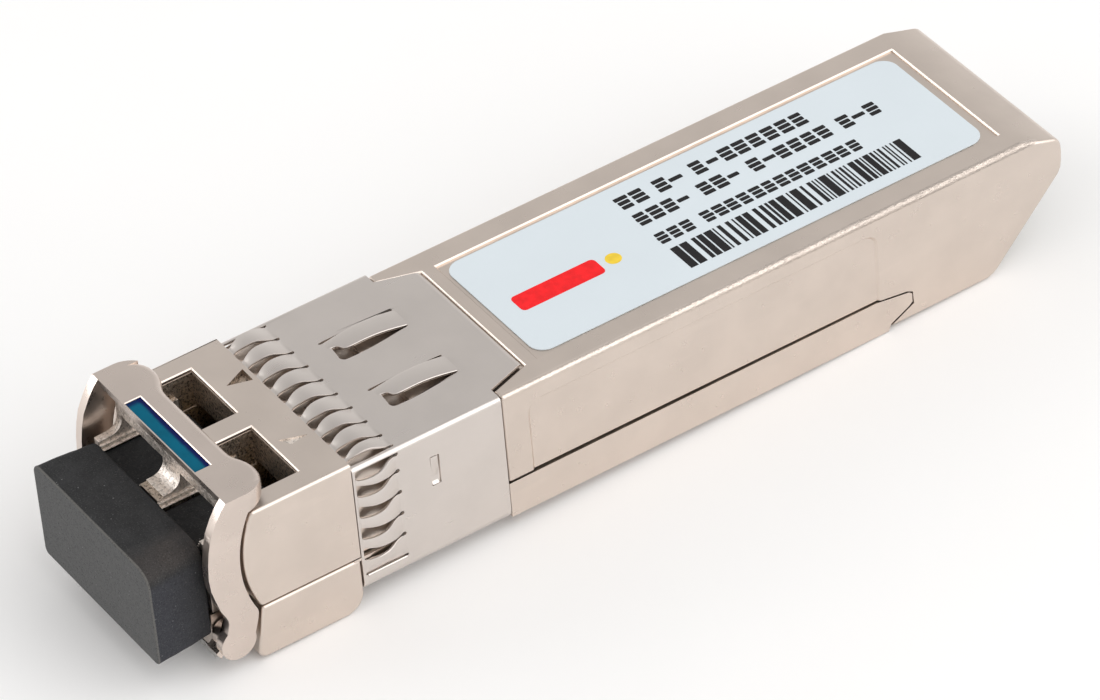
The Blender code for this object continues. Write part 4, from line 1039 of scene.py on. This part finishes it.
def make_latch():
    for name, pivot, radius, length, edge in (
        ("bail", BAIL_PIVOT, 0.45, 12.9, 0.08),
        ("latch", ROCKER_PIVOT, 0.33, 7.5, 0.06),
    ):
        pin = round_edges(rod("x", (0, *pivot), radius, length), edge, 3, 60)
        piece(name + "_pin", pin, PIN_STEEL, name + "_pivot_pin")
    outline = [(NOSE_FRONT, -1.0), (-1.2, -1.0), (-0.1, 0.05), (4.9, 0.05), (4.9, 0.5)]
    outline += [(-0.35, 0.5), (-1.45, -0.55), (NOSE_FRONT, -0.55)]
    rocker = across(outline, 2.6)
    bar = block((-5.3, 5.3), (NOSE_FRONT, -7.0), (-1.0, -0.55))
    hub = rod("x", (0, *ROCKER_PIVOT), 0.7, 5.18)
    boss = [(-1.3, 2.5), (1.3, 2.5), (1.3, 2.9), (0.2, 4.7), (-0.2, 4.7), (-1.3, 2.9)]
    fuse(rocker, bar, hub, prism(boss, "z", (-0.45, 0.25)))
    cut(rocker, rod("x", (0, *ROCKER_PIVOT), ROCKER_BORE, 8.0))
    round_cut_edges(rocker, 0.06, 3, 32)
    piece("latch_rocker_plate", rocker, PRESSED_STEEL, "latch_rocker", ROCKER)
    line = [(-0.5, 1.2), (0.2, 1.2), (0.8, 1.195), (1.4, 1.12), (2.0, 1.0), (2.6, 0.87), (3.2, 0.74)]
    line += [(3.6, 0.67), (3.9, 0.64), (4.15, 0.64), (4.4, 0.655), (4.6, 0.69), (4.72, 0.72)]
    spring = prism(line + [(y, z + 0.1) for y, z in reversed(line)], "x", (-0.9, 0.9))
    round_edges(spring, 0.02, 2, 50)
    piece("latch_leaf_spring", spring, PRESSED_STEEL, "latch_spring", None, 40)
    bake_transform(spring)


# -------- board and optics


def make_board():
    outline = [(-5.5, 11.5), (5.5, 11.5), (5.5, 36.5), (4.6, 37.4), (4.6, 43.9), (4.2, 44.3)]
    outline += [(-4.2, 44.3), (-4.6, 43.9), (-4.6, 37.4), (-5.5, 36.5)]
    board = prism(outline, "z", (2.25, 3.25))
    holes = [(x, y) for y in (22.0, 24.0, 30.5, 35.0) for x in (-4.6, 4.9)]
    for x, y in [*holes, (-1.5, 30.0), (1.4, 30.2), (0.2, 21.2)]:
        cut(board, rod("z", (x, y, 2.75), 0.16, 2.0, 16))
    round_cut_edges(board, 0.03, 2, 50)
    piece("board_laminate", board, board_look(), "circuit_board")
    contacts = []
    tracks = []
    for number in range(10):
        x = (number - 4.5) * 0.8
        inward = x * 0.72
        longer = 0.35 if number in (0, 4, 9) else 0.0
        for zs in ((3.252, 3.285), (2.215, 2.248)):
            pad = rounded((x - 0.25, x + 0.25), (41.2 - longer, 43.8), 0.05, 3)
            contacts.append(round_edges(prism(pad, "z", zs), 0.008, 1, 50))
        for zs in ((3.251, 3.262), (2.238, 2.249)):
            track = [(x - 0.07, 41.3), (x + 0.07, 41.3), (x + 0.07, 39.6), (inward + 0.07, 38.2)]
            track += [(inward + 0.07, 36.9), (inward - 0.07, 36.9), (inward - 0.07, 38.2), (x - 0.07, 39.6)]
            tracks.append(prism(track, "z", zs))
    piece("board_contacts", join(contacts), GOLD)
    masked = plastic_look("masked_copper_look", (0.035, 0.25, 0.09), 0.32)
    piece("board_tracks", join(tracks), masked, crease_deg=None)


def make_optics():
    profile = [(0.0, 9.2), (2.35, 9.2), (2.45, 9.1), (2.45, 8.55), (2.38, 8.48), (2.15, 8.4), (2.15, 6.75)]
    profile += [(2.1, 6.7), (1.85, 6.7), (1.85, 3.9), (2.15, 3.9), (2.2, 3.85), (2.2, 3.3), (2.15, 3.25)]
    profile += [(1.35, 3.25), (1.35, 2.25), (2.15, 2.25), (2.2, 2.2), (2.2, 1.7), (2.15, 1.65), (1.45, 1.65)]
    profile += [(1.45, -3.75), (1.4, -3.88), (1.25, -4.0), (1.02, -4.0), (0.95, -3.9), (0.95, -0.3)]
    profile += [(0.0, -0.3)]
    for name, side in (("tosa", -1), ("rosa", 1)):
        body = turned(profile, side * PORT_X, OPTICAL_Z)
        piece(name + "_body", body, GOLD, name, crease_deg=35)
        ring = [(0.63, -0.45), (0.85, -0.45), (0.85, -3.7), (0.8, -3.8), (0.7, -3.8), (0.63, -3.68)]
        sleeve = turned(ring, side * PORT_X, OPTICAL_Z, 40)
        ceramic = plastic_look(name + "_sleeve_look", (0.84, 0.83, 0.79), 0.3, 0.2)
        piece(name + "_ferrule_sleeve", sleeve, ceramic, name + "_sleeve", crease_deg=35)
        lower = [(9.35, 6.3), (9.35, 4.6), *arc(FLEX_BEND, 1.3, 180, 270, 14), (14.2, 3.32)]
        upper = [(14.2, 3.44), *arc(FLEX_BEND, 1.18, 270, 180, 14), (9.47, 4.6), (9.47, 6.3)]
        flex = prism(lower + upper, "x", (side * PORT_X - 1.5, side * PORT_X + 1.5))
        round_edges(flex, 0.02, 2, 50)
        amber = plastic_look(name + "_flex_look", (0.58, 0.28, 0.05), 0.35, 0.3)
        piece(name + "_flex_tail", flex, amber, name + "_flex", crease_deg=35)
    holder = block((-5.6, 5.6), (2.45, 3.05), (1.85, 7.4))
    for x in (-PORT_X, PORT_X):
        cut(holder, rod("y", (x, 2.75, OPTICAL_Z), 1.5, 2.0))
        cut(holder, block((x - 1.5, x + 1.5), (1.75, 3.75), (OPTICAL_Z, 9.0)))
    round_cut_edges(holder, 0.08, 3, 40)
    moulded = plastic_look("holder_look", (0.03, 0.03, 0.033), 0.5)
    piece("optics_holder", holder, moulded, "osa_holder")


def make_components():
    """Replaces each plain component on the board with a moulded one."""
    chip = plastic_look("chip_look", (0.022, 0.022, 0.023), 0.48)
    for name in ("laser_driver", "limiting_amplifier", "microcontroller", "memory_chip"):
        low, high = datum_box(name)
        body = block_in(low, high, 0.05)
        cut(body, rod("z", (low[0] + 0.55, low[1] + 0.55, high[2]), 0.22, 0.12, 24))
        round_cut_edges(body, 0.04, 2, 50)
        piece(name + "_package", body, chip, name)
        lands = []
        count = int((high[1] - low[1] - 0.6) / 0.5) + 1
        for number in range(count):
            y = (low[1] + high[1]) / 2 + (number - (count - 1) / 2) * 0.5
            for x in (low[0], high[0]):
                lands.append(block((x - 0.04, x + 0.04), (y - 0.11, y + 0.11), (low[2], low[2] + 0.2)))
        piece(name + "_lands", join(lands), PRESSED_STEEL, crease_deg=None)
    ferrite = plastic_look("ferrite_look", (0.13, 0.13, 0.135), 0.6)
    for name in ("inductor_1", "inductor_2"):
        low, high = datum_box(name)
        body = block_in(low, high)
        cut(body, rod("z", ((low[0] + high[0]) / 2, (low[1] + high[1]) / 2, high[2]), 0.8, 0.14, 40))
        round_cut_edges(body, 0.12, 3, 50)
        piece(name + "_core", body, ferrite, name)
    for name in ("capacitor_1", "capacitor_2", "capacitor_3", "capacitor_4"):
        low, high = datum_box(name)
        body = round_edges(block_in(low, high), 0.07, 3, 50)
        piece(name + "_stack", body, capped_look(name + "_look", low[1], high[1]), name)
    can = round_edges(block_in(*datum_box("crystal")), 0.14, 4, 50)
    piece("crystal_can", can, PRESSED_STEEL, "crystal")
    soft = plastic_look("thermal_pad_look", (0.46, 0.27, 0.31), 0.8, 0.1)
    for name in ("thermal_pad_front", "thermal_pad_rear"):
        pad = round_edges(block_in(*datum_box(name)), 0.25, 4, 50)
        piece(name + "_slab", pad, soft, name)
    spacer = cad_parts["board_spacer"]
    spacer.material_slots[0].material = plastic_look("spacer_look", (0.035, 0.035, 0.04), 0.55)


def datum_box(node):
    low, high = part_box(node)
    return low / MM - DATUM, high / MM - DATUM


def block_in(low, high, margin=0.0):
    """A block that fills a box, or stays inside its sides by a margin."""
    return block((low[0] + margin, high[0] - margin), (low[1] + margin, high[1] - margin), (low[2], high[2]))


# -------- floor, light and camera


def make_floor():
    """A pale floor, tipped so that the nose and the rear of the shell both stand on it."""
    shape = bmesh.new()
    bmesh.ops.create_grid(shape, x_segments=1, y_segments=1, size=1.5)
    floor = from_bmesh(shape)
    floor.name = "studio_floor"
    front = at(0, -1.25, NOSE_BOTTOM)
    rear = at(0, 42.6, 0.2)
    slope = math.atan2(rear.z - front.z, rear.y - front.y)
    floor.rotation_euler = (slope, 0.0, 0.0)
    floor.location = front - Vector((0, 0, 0.00003))
    look = Look("studio_floor_look", (0.96, 0.953, 0.947), 0.85)
    look.vary(40.0, 0.01)
    look.bump(look.noise(0.5, 2.0), 0.01, 0.2)
    paint_with(floor, look.material)


def area_light(name, position, target, size, power):
    data = bpy.data.lights.new(name, "AREA")
    data.shape = "RECTANGLE"
    data.size, data.size_y = size
    data.energy = power
    light = bpy.data.objects.new(name, data)
    bpy.context.scene.collection.objects.link(light)
    light.location = position
    light.rotation_euler = (Vector(target) - Vector(position)).to_track_quat("-Z", "Y").to_euler()


PANEL_DISTANCE = 0.6


def make_light():
    """An even pale surround, brighter towards the horizon, with two large soft panels."""
    world = bpy.data.worlds.new("studio_world")
    bpy.context.scene.world = world
    world.use_nodes = True
    tree = world.node_tree
    direction = add_node(tree, "ShaderNodeTexCoord", "Generated", {})
    up = add_node(tree, "ShaderNodeSeparateXYZ", "Z", {"Vector": direction})
    sources = {"Value": up, "From Min": 0.0, "From Max": 1.0, "To Min": 0.92, "To Max": 0.565}
    strength = add_node(tree, "ShaderNodeMapRange", "Result", sources)
    feed(tree, tree.nodes["Background"].inputs, {"Color": (1.0, 0.995, 0.99, 1.0), "Strength": strength})
    center = Vector((0.0, 0.0, 0.005))
    for name, direction, size, power in (
        ("rear_panel", (0.636, 0.393, 0.664), (0.82, 0.82), 2.8),
        ("front_panel", (-0.64, -0.72, 0.30), (0.42, 0.26), 0.9),
    ):
        area_light(name, center + Vector(direction).normalized() * PANEL_DISTANCE, center, size, power)


CAMERA_ANGLES_DEG = (59.41, 39.51, -5.208)
CAMERA_PLACE = (259.451, -136.345, 252.282)
CAMERA_LENS = 230.7


def make_camera():
    """Azimuth from the nose's direction, elevation and roll, as CAMERA_ANGLES_DEG gives them."""
    azimuth, elevation, roll = (math.radians(angle) for angle in CAMERA_ANGLES_DEG)
    toward_camera = Vector((
        math.sin(azimuth) * math.cos(elevation),
        -math.cos(azimuth) * math.cos(elevation),
        math.sin(elevation),
    ))
    level_right = (-toward_camera).cross(Vector((0, 0, 1))).normalized()
    level_up = level_right.cross(-toward_camera)
    right = math.cos(roll) * level_right + math.sin(roll) * level_up
    up = -math.sin(roll) * level_right + math.cos(roll) * level_up
    data = bpy.data.cameras.new("camera")
    data.sensor_width = 36.0
    data.lens = CAMERA_LENS
    data.clip_start = 0.01
    data.clip_end = 10.0
    camera = bpy.data.objects.new("camera", data)
    bpy.context.scene.collection.objects.link(camera)
    turn = Matrix((right, up, toward_camera)).transposed().to_4x4()
    camera.matrix_world = Matrix.Translation(at(*CAMERA_PLACE)) @ turn
    bpy.context.scene.camera = camera


make_camera()
make_top_shell()
make_bottom_shell()
make_collar()
make_bail()
make_plug()
make_label()
make_latch()
make_board()
make_optics()
make_components()
make_floor()
make_light()
bpy.context.scene.view_settings.view_transform = "Standard"
